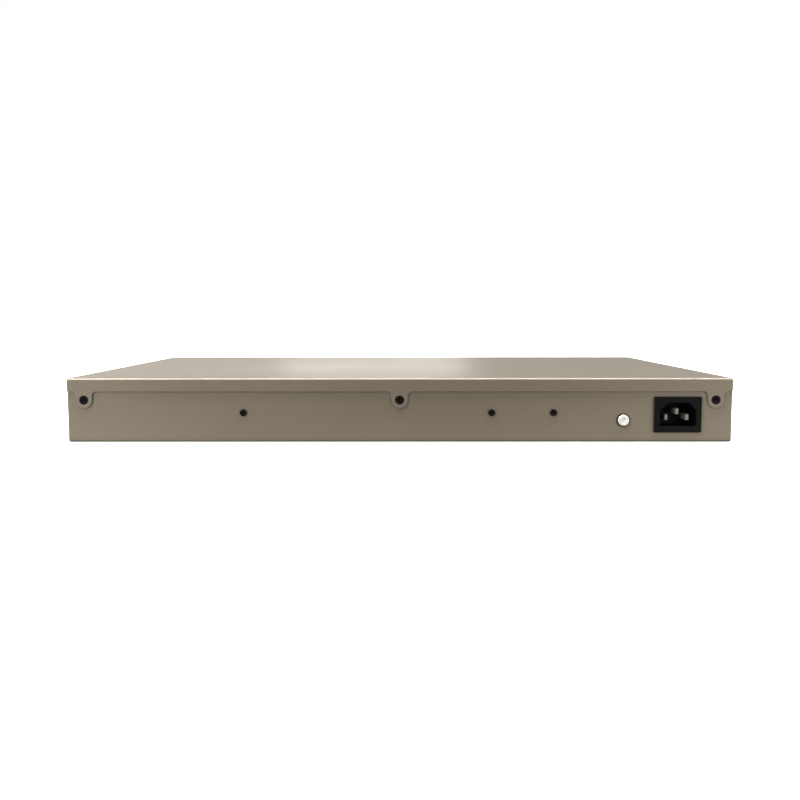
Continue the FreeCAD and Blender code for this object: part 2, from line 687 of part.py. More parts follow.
def earth_lead():
    """Earth lead from the inlet's middle tag to a ring lug under the earth screw's nut."""
    x, z = pin_places()[2]
    lug_y = REAR_IN - LUG_T
    ring = cyl_y(EARTH_X, EARTH_Z, lug_y, REAR_IN, 4.2)
    tongue = box(EARTH_X - 9.5, EARTH_X, lug_y, REAR_IN, EARTH_Z - 1.6, EARTH_Z + 1.6)
    barrel = cyl_x(lug_y - 0.4, EARTH_Z, EARTH_X - 13.0, EARTH_X - 6.5, 1.15)
    hole = cyl_y(EARTH_X, EARTH_Z, lug_y - 5, REAR_IN + 1, M4_R + HOLE_GAP)
    lug = one([ring, tongue, barrel]).cut(hole)
    lug = lug.cut(box(EARTH_X - 20, EARTH_X, REAR_IN, REAR_IN + 5, 0, 30))
    start_x = EARTH_X - 13.0
    clear_x = start_x - 6.4
    high = INLET_Z + 11.0
    route = [
        (start_x, lug_y - 0.4, EARTH_Z),
        (clear_x, lug_y - 0.4, EARTH_Z),
        (clear_x, lug_y - 12.0, high),
        (clear_x, 104.0, high),
        (x, 104.0, high),
        (x, 104.0, z),
        (x, TAG_END_Y, z),
    ]
    return group([lug, tube_along(route, 1.0, 3.0)])


# ---------------------------------------------------------------- power supply
def board(outline, holes):
    x0, x1, y0, y1 = outline
    plate = box(x0, x1, y0, y1, BOARD_Z, BOARD_TOP)
    plate = fillet_where(plate, 1.5, lambda c, e: runs_along(e, "z"))
    return plate.cut([cyl_z(x, y, BOARD_Z - 1, BOARD_TOP + 1, 1.7) for x, y in holes])


def standoffs(holes):
    return group(
        cyl_z(x, y, SHEET, BOARD_Z, STANDOFF_R).cut(cyl_z(x, y, SHEET + 0.8, BOARD_Z + 1, M3_R + HOLE_GAP))
        for x, y in holes
    )


def board_fasteners(holes):
    screw = pan_screw(M3_R, 2.8, 1.9, 5.2)
    return group([moved(screw, x, y, BOARD_TOP) for x, y in holes])


def psu_insulator():
    """A plastic film between the supply's board and the tray."""
    x0, x1, y0, y1 = PSU_BOARD
    film = box(x0 - 3, x1 + 4, y0 - 3, y1 + 3, SHEET, SHEET + 0.4)
    return film.cut([cyl_z(x, y, 0, 3, STANDOFF_R + 0.4) for x, y in PSU_HOLES])


def psu_transformer_core():
    """A ferrite E core pair: two legs, a middle leg and the yokes that join them."""
    x0, y0, z0 = TRANSFORMER
    frame = box(x0, x0 + 36, y0, y0 + 32, z0, z0 + 24)
    windows = [box(x0 + a, x0 + a + 9, y0 + 5, y0 + 27, z0 - 1, z0 + 25) for a in (5.0, 22.0)]
    return frame.cut(windows)


def psu_transformer_winding():
    x0, y0, z0 = TRANSFORMER
    coil = box(x0 + 5.3, x0 + 30.7, y0 + 5.3, y0 + 26.7, z0 - 2.6, z0 + 23.5)
    coil = fillet_where(coil, 3.0, lambda c, e: runs_along(e, "z"))
    leg = box(x0 + 13.8, x0 + 22.2, y0, y0 + 32, z0 - 0.2, z0 + 25)
    feet = [box(x0 + 5.3, x0 + 30.7, y0 + a, y0 + a + 4, z0 - 3.0, z0 - 0.2) for a in (0.5, 27.5)]
    return one([coil.cut(leg)] + feet)


def can(x, y, r, h):
    """An electrolytic capacitor: a can with a rolled groove near its foot."""
    body = cyl_z(x, y, BOARD_TOP, BOARD_TOP + h, r)
    body = fillet_where(body, 0.8, lambda c, e: c.z > BOARD_TOP + h - 0.01 and len(e.Vertexes) == 1)
    return body.cut(Part.makeTorus(r + 0.35, 0.8, Vector(x, y, BOARD_TOP + 2.6)))


def psu_capacitors():
    """Two large cans on the mains side and a row of small ones at the output."""
    bulk = [can(-160.0, 20.0 + 26.0 * k, 11.0, 30.0) for k in range(2)]
    output = [can(-72.0, 22.0 + 12.0 * k, 5.0, 20.0) for k in range(4)]
    return group(bulk + output)


def finned_sink(x0, x1, y0, y1, z0, z1, fins):
    """An aluminium extrusion: a plate standing on the board with fins along Y."""
    plate = box(x0, x1, y0, y0 + 2.5, z0, z1)
    pitch = (x1 - x0 - 1.2) / (fins - 1)
    starts = [x0 + k * pitch for k in range(fins)]
    return one([plate] + [box(x, x + 1.2, y0, y1, z0, z1) for x in starts])


def psu_heatsinks():
    return group(
        finned_sink(x0, x1, y0, y1, BOARD_TOP, BOARD_TOP + 27.0, int((x1 - x0) / 5) + 1)
        for x0, x1, y0, y1 in PSU_SINKS
    )


def psu_transistors():
    """Flat power packages that stand against the heatsinks' plates."""
    parts = []
    for x0, x1, y0, _ in PSU_SINKS:
        for k in range(int((x1 - x0) / 15)):
            x = x0 + 9 + 14 * k
            body = box(x - 5, x + 5, y0 - 4.4, y0, BOARD_TOP + 4, BOARD_TOP + 13)
            tab = box(x - 5, x + 5, y0 - 1.3, y0, BOARD_TOP + 13, BOARD_TOP + 19)
            leg_x = [x + d for d in (-2.5, 0, 2.5)]
            legs = [box(lx - 0.4, lx + 0.4, y0 - 2.6, y0 - 2.0, BOARD_TOP, BOARD_TOP + 4) for lx in leg_x]
            parts.append(one([body, tab] + legs))
    return group(parts)


def psu_choke():
    """A common-mode choke: a wound ring standing on edge on a base."""
    ring = Part.makeTorus(9.0, 4.2, Vector(-184.0, 52.0, BOARD_TOP + 15.2), Vector(0, 1, 0))
    base = box(-195.0, -173.0, 46.0, 58.0, BOARD_TOP, BOARD_TOP + 3.0)
    return one([ring, base])


def psu_fuse():
    """A glass fuse with metal caps in two spring clips."""
    x, y, z = -184.0, 68.0, BOARD_TOP + 5.0
    glass = cyl_x(y, z, x - 6.5, x + 6.5, 2.4)
    caps = [cyl_x(y, z, x + s * 8.0 - 1.5, x + s * 8.0 + 1.5, 2.6) for s in (-1, 1)]
    ends = [x + s * 8.0 for s in (-1, 1)]
    clips = [box(end - 2.2, end + 2.2, y - 3.4, y + 3.4, BOARD_TOP, z - 1.2) for end in ends]
    clips = [c.cut(cyl_x(y, z, x - 20, x + 20, 2.6)) for c in clips]
    return group([glass] + caps + clips)


def psu_film_capacitors():
    blocks = [box(-196.0, -172.0, y, y + 8.0, BOARD_TOP, BOARD_TOP + 15.0) for y in (20.0, 32.0)]
    return group(fillet_where(b, 1.0, lambda c, e: not runs_along(e, "z") and c.z > 10) for b in blocks)


def psu_terminal_block():
    x0, x1, y0, y1, z0, z1 = AC_BLOCK
    block = box(x0, x1, y0, y1, z0, z1)
    return fillet_where(block, 0.6, lambda c, e: c.z > z1 - 0.01)


def dc_connectors():
    """The two wire-to-board connectors of the supply's output."""
    x0, x1 = HARNESS_X[0] - 4, HARNESS_X[-1] + 4
    return group(
        fillet_where(
            box(x0, x1, y - 3.6, y + 3.6, BOARD_TOP, HARNESS_TOP), 0.5, lambda c, e: runs_along(e, "z")
        )
        for y in (HARNESS_PSU_Y, HARNESS_MAIN_Y)
    )


def dc_harness():
    """Six leads that hump over from the supply's connector to the main board's."""
    high = HARNESS_TOP + 10.0
    return group(
        tube_along(
            [
                (x, HARNESS_PSU_Y, HARNESS_TOP), (x, HARNESS_PSU_Y, high),
                (x, HARNESS_MAIN_Y, high), (x, HARNESS_MAIN_Y, HARNESS_TOP),
            ],
            0.9, 6.0,
        )
        for x in HARNESS_X
    )


def rear_brackets():
    """An angle that sinks the rectifiers' heat into the back wall, and a prop under the cover."""
    wall = REAR_IN
    z0, z1 = 9.0, 31.0
    leaf = box(-112.0, -52.0, wall - 3, wall, z0, z1)
    angle = one([leaf, box(-112.0, -52.0, wall - 24, wall, z0, z0 + 2.5)])
    prop = one(
        [
            box(96.0, 111.0, wall - 2.5, wall, 10.0, COVER_IN - 1.0),
            box(96.0, 111.0, wall - 18, wall, COVER_IN - 2.2, COVER_IN - 1.0),
        ]
    )
    holes = [cyl_y(x, BRACKET_SCREW_Z, wall - 10, wall + 1, 1.25 + HOLE_GAP) for x in BRACKET_SCREW_X]
    return group([angle.cut(holes), prop.cut(holes)])


# ---------------------------------------------------------------- main board

def switch_chip():
    chip = box(CHIP_X - 15, CHIP_X + 15, CHIP_Y - 15, CHIP_Y + 15, BOARD_TOP, BOARD_TOP + 2.2)
    return chip.makeChamfer(0.4, [e for e in chip.Edges if e.BoundBox.Center.z > BOARD_TOP + 2.19])


def switch_heatsink():
    z0 = BOARD_TOP + 2.2
    base = box(CHIP_X - 22, CHIP_X + 22, CHIP_Y - 22, CHIP_Y + 22, z0, z0 + 3)
    starts = [CHIP_X - 22 + CHIP_FIN_PITCH * k for k in range(CHIP_FINS)]
    fins = [box(x, x + CHIP_FIN_T, CHIP_Y - 22, CHIP_Y + 22, z0, z0 + CHIP_FIN_H) for x in starts]
    return one([base] + fins)


def board_chips():
    """Line-driver chips behind the sockets and the memory beside the switch chip."""
    drivers = [
        box(x - 7, x + 7, -92.0, -78.0, BOARD_TOP, BOARD_TOP + 1.2) for x in (-62, -42, 52, 72, 92, 126)
    ]
    memory = [
        box(x - 5, x + 5, y - 6.5, y + 6.5, BOARD_TOP, BOARD_TOP + 1.1)
        for x, y in ((56, -60), (72, -60), (56, -40))
    ]
    return group(drivers + memory)


def magnetics():
    """Pulse transformers in a row behind the socket blocks."""
    return group(
        box(x - 7.5, x + 7.5, -114.5, -99.5, BOARD_TOP, BOARD_TOP + 6.0)
        for x in (-60, -40, -20, 0, 34, 54, 74, 94)
    )


def board_capacitors():
    return group(
        [can(-150.0 + 12.0 * k, -24.0, 4.0, 11.0) for k in range(4)]
        + [can(140.0 + 11.0 * k, -60.0, 4.0, 11.0) for k in range(4)]
    )


def power_inductors():
    blocks = [box(x - 6, x + 6, -56.0, -44.0, BOARD_TOP, BOARD_TOP + 6.0) for x in (-150, -130, -60)]
    return group(fillet_where(b, 1.5, lambda c, e: runs_along(e, "z")) for b in blocks)


# ---------------------------------------------------------------- sockets on the front
def socket_places(name):
    x, columns = JACK_BLOCKS[name]
    first = x - (columns - 1) * PITCH / 2
    return [(first + PITCH * k, side) for k in range(columns) for side in (-1, 1)]


def jack_housing(name):
    """A socket block's moulding, made of plates and walls that meet face to face."""
    x, columns = JACK_BLOCKS[name]
    low_x, high_x = (x + s * (columns * PITCH / 2 + JACK_SIDE) for s in (-1, 1))
    front, floor, back = JACK_FRONT_Y, JACK_FRONT_Y + SOCKET_DEPTH, JACK_FRONT_Y + JACK_DEPTH
    shelf_z = (JACK_MID_Z - SHELF, JACK_MID_Z + SHELF)
    parts = [
        box(low_x, high_x, floor, back, BOARD_TOP, BOARD_TOP + JACK_H),
        box(low_x, high_x, front, floor, *shelf_z),
    ]
    centres = sorted({px for px, _ in socket_places(name)})
    for side in (-1, 1):
        heights = (SHELF, SHELF + SOCKET_H, SHELF + SOCKET_H + LATCH_H, JACK_H / 2)
        levels = [JACK_MID_Z + side * h for h in heights]
        parts.append(box(low_x, high_x, front, floor, *sorted(levels[2:])))
        for half_width, ends in ((SOCKET_W / 2, levels[:2]), (LATCH_W / 2, levels[1:3])):
            edges = [low_x] + [px + s * half_width for px in centres for s in (-1, 1)] + [high_x]
            for x0, x1 in zip(edges[::2], edges[1::2]):
                parts.append(box(x0, x1, front, floor, *sorted(ends)))
    return group(parts)


def jack_shield(name):
    """Tinned steel round the housing: front, top, sides and back."""
    x, columns = JACK_BLOCKS[name]
    half = columns * PITCH / 2 + JACK_SIDE
    y1 = JACK_FRONT_Y + JACK_DEPTH
    outer = box(
        x - half - SHIELD_T, x + half + SHIELD_T, JACK_FRONT_Y - SHIELD_T, y1 + SHIELD_T,
        BOARD_TOP, BOARD_TOP + JACK_H + SHIELD_T,
    )
    inner = box(x - half, x + half, JACK_FRONT_Y, y1, BOARD_TOP - 1, BOARD_TOP + JACK_H)
    windows = []
    rim = 0.5
    for px, side in socket_places(name):
        for width, low, high in (
            (SOCKET_W, SHELF - rim, SHELF + SOCKET_H + rim),
            (LATCH_W, SHELF, SHELF + SOCKET_H + LATCH_H + rim),
        ):
            half = width / 2 + rim
            z0, z1 = sorted(JACK_MID_Z + side * h for h in (low, high))
            windows.append(box(px - half, px + half, JACK_FRONT_Y - 1, JACK_FRONT_Y, z0, z1))
    return outer.cut(inner).cut(windows).removeSplitter()


def contact_spring(side):
    """One gold spring, drawn for x = 0: a foot along the shelf that doubles back into the socket."""
    back, front, tip = JACK_FRONT_Y + SOCKET_DEPTH, JACK_FRONT_Y + 3.0, JACK_FRONT_Y + 11.0
    profile = [
        (back, 0.0), (front, 0.0), (front, 0.5), (tip, 2.2), (tip, 1.9), (front + 0.8, 0.36), (back, 0.3),
    ]
    points = [(y, JACK_MID_Z + side * (SHELF + z)) for y, z in profile]
    return prism_x(points, -CONTACT_W / 2, CONTACT_W / 2)


def jack_contacts(names):
    springs = {side: contact_spring(side) for side in (-1, 1)}
    placed = []
    for name in names:
        for x, side in socket_places(name):
            for k in range(CONTACTS):
                dx = (k - (CONTACTS - 1) / 2) * CONTACT_PITCH
                placed.append(moved(springs[side], x + dx, 0, 0))
    return group(placed)


def sfp_cages():
    cages = []
    for x in CAGE_X:
        y1 = CAGE_FRONT_Y + CAGE_L
        outer = box(x - CAGE_W / 2, x + CAGE_W / 2, CAGE_FRONT_Y, y1, BOARD_TOP, BOARD_TOP + CAGE_H)
        inner = box(
            x - CAGE_W / 2 + CAGE_T, x + CAGE_W / 2 - CAGE_T, CAGE_FRONT_Y - 1, y1 - CAGE_T,
            BOARD_TOP + CAGE_T, BOARD_TOP + CAGE_H - CAGE_T,
        )
        cages.append(outer.cut(inner))
    return group(cages)


def sfp_connectors():
    """The card-edge receptacle at the back of each cage."""
    parts = []
    for x in CAGE_X:
        y1 = CAGE_FRONT_Y + CAGE_L - 1.0
        body = box(x - 6.3, x + 6.3, y1 - 9, y1, BOARD_TOP + CAGE_T, BOARD_TOP + 6.6)
        slit = box(x - 5.2, x + 5.2, y1 - 10, y1 - 3, BOARD_TOP + 3.0, BOARD_TOP + 4.4)
        parts.append(body.cut(slit))
    return group(parts)


def leds():
    """Round indicators whose domes stand just out of the front film."""
    shapes = []
    for x, z in led_places():
        stem = cyl_y(x, z, FRONT_Y - 0.2, FRONT_Y + 3.0, LED_R)
        dome = Part.makeSphere(2.0, Vector(x, FRONT_Y + 1.1, z))
        dome = dome.common(cyl_y(x, z, FRONT_Y - 2, FRONT_Y + 1, LED_R))
        shapes.append(one([stem, dome]))
    return group(shapes)


def led_holders():
    holders = []
    for k in range(LED_COLUMNS):
        x = LED_FIRST_X + LED_PITCH * k
        holders.append(box(x - 2.4, x + 2.4, FRONT_Y + 3.0, FRONT_Y + 9.0, BOARD_TOP, LED_Z[1] + 2.6))
    return group(holders)


# ---------------------------------------------------------------- controls

def reset_button():
    """A push button: a cap on a plunger that goes into its switch."""
    cap = cyl_y(BUTTON_X, CONTROL_Z, FRONT_Y - 1.2, FRONT_Y + 1.4, BUTTON_R)
    cap = fillet_where(cap, 0.4, lambda c, e: c.y < FRONT_Y - 1.19 and len(e.Vertexes) == 1)
    collar = cyl_y(BUTTON_X, CONTROL_Z, FRONT_Y + 1.2, FRONT_Y + 2.4, BUTTON_R + 0.7)
    plunger = cyl_y(BUTTON_X, CONTROL_Z, FRONT_Y + 2.0, CONTROL_BACK_Y + 1.6, 1.2)
    return one([cap, collar, plunger])


def reset_switch():
    low_x, high_x = BUTTON_X - 3.5, BUTTON_X + 3.5
    body = box(low_x, high_x, CONTROL_BACK_Y, CONTROL_BACK_Y + 5, BOARD_TOP, CONTROL_Z + 3.5)
    well = cyl_y(BUTTON_X, CONTROL_Z, CONTROL_BACK_Y - 1, CONTROL_BACK_Y + 1.8 + BUTTON_TRAVEL, 1.25)
    return body.cut(well)


def mode_slider():
    knob = box(
        SLIDER_X - SLIDER_W / 2, SLIDER_X + SLIDER_W / 2, FRONT_Y - 1.4, FRONT_Y + 2.6,
        CONTROL_Z - SLIDER_H / 2, CONTROL_Z + SLIDER_H / 2,
    )
    knob = knob.makeChamfer(0.3, [e for e in knob.Edges if e.BoundBox.Center.y < FRONT_Y - 1.39])
    carriage = box(
        SLIDER_X - 2.4, SLIDER_X + 2.4, FRONT_Y + 2.0, CONTROL_BACK_Y + 1.0,
        CONTROL_Z - 1.9, CONTROL_Z + 1.9,
    )
    return one([knob, carriage])


def mode_switch():
    body = box(
        SLIDER_X - 5.0, SLIDER_X + 5.0 + SLIDER_TRAVEL, CONTROL_BACK_Y, CONTROL_BACK_Y + 4.5,
        BOARD_TOP, CONTROL_Z + 3.4,
    )
    track = box(
        SLIDER_X - 2.45, SLIDER_X + 2.45 + SLIDER_TRAVEL, CONTROL_BACK_Y - 1, CONTROL_BACK_Y + 1.05,
        CONTROL_Z - 1.95, CONTROL_Z + 1.95,
    )
    return body.cut(track)


# ---------------------------------------------------------------- fans
# Each is drawn about the X axis, with its outlet at x = 0.

def fan_frame():
    half = FAN_SIZE / 2
    frame = box(-FAN_T, 0, -half, half, -half, half)
    frame = fillet_where(frame, 2.5, lambda c, e: runs_along(e, "x"))
    frame = frame.cut(cyl_x(0, 0, -FAN_T - 1, 1, DUCT_R))
    spider = [cyl_x(0, 0, -2.2, 0, 10.6)]
    for k in range(4):
        spider.append(turned(box(-2.2, 0, 9, DUCT_R + 0.8, -1.1, 1.1), Vector(1, 0, 0), 45 + 90 * k))
    tube = cyl_x(0, 0, -HUB_BACK - 9.0, 0, TUBE_R)
    frame = one([frame] + spider + [tube])
    cuts = [cyl_x(0, 0, -HUB_BACK - 10, -0.8, BUSH_R)]
    cuts += [cyl_x(a * FAN_HOLE, b * FAN_HOLE, -FAN_T - 1, 1, 1.6) for a in (-1, 1) for b in (-1, 1)]
    return frame.cut(cuts)


def fan_bush():
    return cyl_x(0, 0, -HUB_BACK - 9.0, -0.8, BUSH_R).cut(cyl_x(0, 0, -20, -1.6, SHAFT_R + 0.03))


def fan_stator():
    """The wound core round the bearing tube, with its poles."""
    x0, x1 = -HUB_BACK - 8.0, -HUB_BACK
    poles = [turned(box(x0, x1, 2.0, 8.6, -1.6, 1.6), Vector(1, 0, 0), 90 * k) for k in range(4)]
    rim = cyl_x(0, 0, x0 + 2, x1 - 2, 8.6).cut(cyl_x(0, 0, -30, 1, 7.4))
    gaps = [turned(box(x0, x1, 6, 10, -0.9, 0.9), Vector(1, 0, 0), 45 + 90 * k) for k in range(4)]
    core = one([cyl_x(0, 0, x0, x1, 4.4)] + poles + [rim.cut(gaps)])
    return core.cut(cyl_x(0, 0, -30, 1, TUBE_R))


def fan_rotor():
    x1 = -HUB_BACK
    x0 = x1 - HUB_LENGTH
    cup = cyl_x(0, 0, x0, x1, HUB_R)
    cup = fillet_where(cup, 1.2, lambda c, e: c.x < x0 + 0.01 and len(e.Vertexes) == 1)
    cup = cup.cut(cyl_x(0, 0, x0 + 1.6, x1 + 1, HUB_R - 1.4))
    blade = box(-8.5, 8.5, HUB_R - 1, DUCT_R, -0.55, 0.55)
    blade = moved(turned(blade, Vector(0, 1, 0), 38), (x0 + x1) / 2, 0, 0)
    blades = [turned(blade, Vector(1, 0, 0), 360 / BLADES * k) for k in range(BLADES)]
    swept = cyl_x(0, 0, x0 + 0.4, x1 - 0.4, DUCT_R - 0.6).cut(cyl_x(0, 0, -30, 1, HUB_R - 0.7))
    return cup.fuse([b.common(swept) for b in blades]).cut(cyl_x(0, 0, x0 + 0.7, x1, SHAFT_R))


def fan_shaft():
    x0 = -HUB_BACK - HUB_LENGTH + 0.7
    return cyl_x(0, 0, x0, -1.8, SHAFT_R)


def in_fan_place(shape, index):
    return moved(shape, FAN_OUT_X, FAN_Y[index], FAN_Z)


def fan_screws():
    screw = pointing(pan_screw(1.5, 2.8, 1.7, 8.0), (1, 0, 0))
    places = [(y + dy, FAN_Z - FAN_HOLE) for y in FAN_Y for dy in (-FAN_HOLE, FAN_HOLE)]
    return group([moved(screw, HALF_W, y, z) for y, z in places])


def fan_headers():
    return group(
        box(x - 3.2, x + 3.2, FAN_HEADER_Y - 2.6, FAN_HEADER_Y + 2.6, BOARD_TOP, BOARD_TOP + 7.0)
        for x in FAN_HEADER_X
    )


def fan_leads():
    """Two leads from each fan's inlet side to its header on the main board."""
    leads = []
    for index, fan_y in enumerate(FAN_Y):
        for offset in (0.0, 2.0):
            lane = 192.0 - 5.0 * index - offset
            header_x = FAN_HEADER_X[index] + 1.0 - offset
            y0 = fan_y - 15.0
            leads.append(
                tube_along(
                    [
                        (FAN_IN_X, y0, 8.0 + offset * 0.8),
                        (lane, y0, 8.0 + offset * 0.8),
                        (lane, -4.0, 12.0 + offset * 0.8),
                        (header_x, FAN_HEADER_Y, 26.0),
                        (header_x, FAN_HEADER_Y, BOARD_TOP + 7.0),
                    ],
                    0.6, 2.5,
                )
            )
    return group(leads)


# ---------------------------------------------------------------- the assembly
def nodes():
    yield "base_tray", base_tray()
    yield "top_cover", top_cover()
    yield "front_panel", front_panel()
    yield "front_overlay", front_overlay()
    yield "cover_screws", cover_screws()
    yield "bracket_screws", bracket_screws()
    yield "front_panel_screws", front_panel_screws()
    yield "clinch_nuts", clinch_nuts()
    yield "ground_screw", ground_screw()
    yield "ground_washer", ground_washer()
    yield "ground_nut", ground_nut()
    yield "inlet_housing", inlet_housing()
    yield "inlet_pins", inlet_pins()
    yield "ac_leads", ac_leads()
    yield "earth_lead", earth_lead()
    yield "psu_board", board(PSU_BOARD, PSU_HOLES)
    yield "main_board", board(MAIN_BOARD, MAIN_HOLES)
    yield "board_standoffs", standoffs(PSU_HOLES + MAIN_HOLES)
    yield "board_screws", board_fasteners(PSU_HOLES + MAIN_HOLES)
    yield "psu_insulator", psu_insulator()
    yield "psu_transformer_core", psu_transformer_core()
    yield "psu_transformer_winding", psu_transformer_winding()
    yield "psu_capacitors", psu_capacitors()
    yield "psu_heatsinks", psu_heatsinks()
    yield "psu_transistors", psu_transistors()
    yield "psu_choke", psu_choke()
    yield "psu_fuse", psu_fuse()
    yield "psu_film_capacitors", psu_film_capacitors()
    yield "psu_terminal_block", psu_terminal_block()
    yield "dc_connectors", dc_connectors()
    yield "dc_harness", dc_harness()
    yield "rear_brackets", rear_brackets()
    yield "switch_chip", switch_chip()
    yield "switch_heatsink", switch_heatsink()
    yield "board_chips", board_chips()
    yield "magnetics", magnetics()
    yield "board_capacitors", board_capacitors()
    yield "power_inductors", power_inductors()
    for name in JACK_BLOCKS:
        yield f"{name}_jack_housing", jack_housing(name)
        yield f"{name}_jack_shield", jack_shield(name)
    yield "jack_contacts", jack_contacts(JACK_BLOCKS)
    yield "sfp_cages", sfp_cages()
    yield "sfp_connectors", sfp_connectors()
    yield "leds", leds()
    yield "led_holders", led_holders()
    yield "reset_button", reset_button()
    yield "reset_switch", reset_switch()
    yield "mode_slider", mode_slider()
    yield "mode_switch", mode_switch()
    frame, rotor, shaft, bush, stator = fan_frame(), fan_rotor(), fan_shaft(), fan_bush(), fan_stator()
    yield "fan_frames", group([in_fan_place(frame, k) for k in range(2)])
    yield "fan_cores", group([in_fan_place(s, k) for k in range(2) for s in (bush, stator)])
    for k, name in enumerate(("front", "rear")):
        yield f"{name}_fan_rotor", group([in_fan_place(s, k) for s in (rotor, shaft)])
    yield "fan_screws", fan_screws()
    yield "fan_leads", fan_leads()
    yield "fan_headers", fan_headers()


def main():
    os.makedirs(OUT, exist_ok=True)
    for old in os.listdir(OUT):
        os.remove(os.path.join(OUT, old))
    count = 0
    for name, shape in nodes():
        bad = [s for s in shape.Solids if not s.isValid() or s.Volume <= 0]
        if bad or not shape.Solids:
            print("PROBLEM", name, len(shape.Solids), "solids,", len(bad), "bad")
        shape.exportStep(os.path.join(OUT, name + ".step"))
        count += 1
    print(count, "nodes written")


main()
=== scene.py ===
"""Looks of a rackmount network switch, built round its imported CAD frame. Units are metres.

The frame stands on its underside at z = 0, with the sockets towards -Y and the mains inlet
towards +Y. The script gives every CAD node a procedural material, adds the fine pieces that the
CAD leaves out (printed numbers and lines, socket lamps, foot pads), and then sets the camera,
floor and lights.
"""

import json
import math

import bmesh
import bpy
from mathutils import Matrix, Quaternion, Vector


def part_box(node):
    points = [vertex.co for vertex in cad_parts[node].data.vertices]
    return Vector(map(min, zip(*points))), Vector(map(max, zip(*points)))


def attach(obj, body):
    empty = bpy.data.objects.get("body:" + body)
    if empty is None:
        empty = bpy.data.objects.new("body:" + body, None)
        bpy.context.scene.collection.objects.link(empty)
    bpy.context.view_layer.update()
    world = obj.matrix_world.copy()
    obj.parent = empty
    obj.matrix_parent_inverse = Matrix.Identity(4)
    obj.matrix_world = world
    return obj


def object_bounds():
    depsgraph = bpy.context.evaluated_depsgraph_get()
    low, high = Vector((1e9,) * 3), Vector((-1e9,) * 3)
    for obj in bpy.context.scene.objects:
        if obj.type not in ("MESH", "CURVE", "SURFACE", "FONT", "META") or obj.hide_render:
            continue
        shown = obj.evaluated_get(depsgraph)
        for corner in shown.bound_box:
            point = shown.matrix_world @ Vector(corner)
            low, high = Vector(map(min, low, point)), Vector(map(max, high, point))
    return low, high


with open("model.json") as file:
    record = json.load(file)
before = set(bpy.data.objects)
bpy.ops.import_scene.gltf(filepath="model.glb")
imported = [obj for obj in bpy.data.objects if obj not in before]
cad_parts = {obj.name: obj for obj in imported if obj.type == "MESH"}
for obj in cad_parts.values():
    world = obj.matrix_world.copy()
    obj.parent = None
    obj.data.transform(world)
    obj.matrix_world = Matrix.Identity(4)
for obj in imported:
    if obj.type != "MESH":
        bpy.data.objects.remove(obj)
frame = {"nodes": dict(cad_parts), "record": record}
nodes = frame["nodes"]
cad_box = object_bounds()
MM = 0.001

# ---------------------------------------------------------------- places taken from the frame
tray_low, tray_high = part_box("base_tray")
REAR_Y = tray_high.y
FILM_FRONT_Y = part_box("front_overlay")[0].y


# ---------------------------------------------------------------- driving values: finishes
PAINT_DARK = (0.171, 0.146, 0.106)
PAINT_LIGHT = (0.190, 0.163, 0.118)
PAINT_FLAKE = (0.34, 0.29, 0.23)
PAINT_METALLIC = 0.45
PAINT_BEND_HIGHLIGHT = (0.80, 0.74, 0.63)  # painted highlight colour on the folds at the top, standing in for the light they catch
BEND_HIGHLIGHT_SHARE = 0.36  # how much of that painted highlight they take
BLACK_PLASTIC = (0.0036, 0.0031, 0.0032)
ZINC = (0.56, 0.57, 0.58)
EDGE_GAIN = 3.0  # how quickly the wear at an edge fades in
NOISE_RANGE = (0.3, 0.7)  # where most values of a noise lie
DRIFT_SIZE = 0.16  # broad clouds in the paint
PEEL_SIZE, PEEL_DEPTH = 0.0011, 0.000012  # orange peel
FLAKE_SIZE, FLAKE_DEPTH = 0.00028, 0.000004
BOARD_MASK, BOARD_TRACK = (0.010, 0.075, 0.030), (0.028, 0.155, 0.060)
SOLDER = (0.62, 0.60, 0.55)

# ---------------------------------------------------------------- driving values: small details
WELD = 0.0005 * MM  # corners nearer than this are one
BLOCKS = ("left", "right", "uplink")
SOCKET_PITCH = 14.0 * MM
CAGE_PITCH = 16.5 * MM
LED_COLUMNS = 13
LED_R = 1.5 * MM
INK_PROUD = 0.02 * MM
INK_LINE = 0.18 * MM
INK_ROUND = INK_LINE * 0.1
NUMBER_H = 2.3 * MM
LOWER_NUMBER_H = 2.0 * MM
SMALL_NUMBER_H = 1.7 * MM
TYPE_SIZE = 1.38  # a font's size over the height of its figures
NUMBER_GAP = 2.3 * MM  # from a row of sockets to the middle of its numbers
SMALL_NUMBER_GAP = 1.9 * MM
LED_FRAME_X, LED_FRAME_Z = 3.0 * MM, 4.4 * MM  # from the indicators to the line round them
CONTROL_LINE_X, CONTROL_LINE_Z = 3.2 * MM, 3.4 * MM  # the lines over and under a control
LAMP_W, LAMP_H = 2.3 * MM, 1.3 * MM
LAMP_ACROSS = 4.75 * MM  # from a socket's middle to its lamps
LAMP_INSET = 2.55 * MM  # from the shield's edge to the lamps
LAMP_PROUD, LAMP_DEPTH = 0.05 * MM, 0.25 * MM
LAMP_ROUND = 0.15 * MM
FOOT_X, FOOT_Y = 190.0 * MM, 105.0 * MM
# a pad's outline as (radius, height) in mm, from its top edge over two grooves to its middle
FOOT_PROFILE = (
    (7.50, 0.38), (7.60, 0.32), (7.60, 0.10), (7.45, 0.03), (6.70, 0.03), (6.55, 0.14), (6.25, 0.14),
    (6.10, 0.03), (4.90, 0.03), (4.75, 0.14), (4.45, 0.14), (4.30, 0.03), (0.60, 0.03),
)

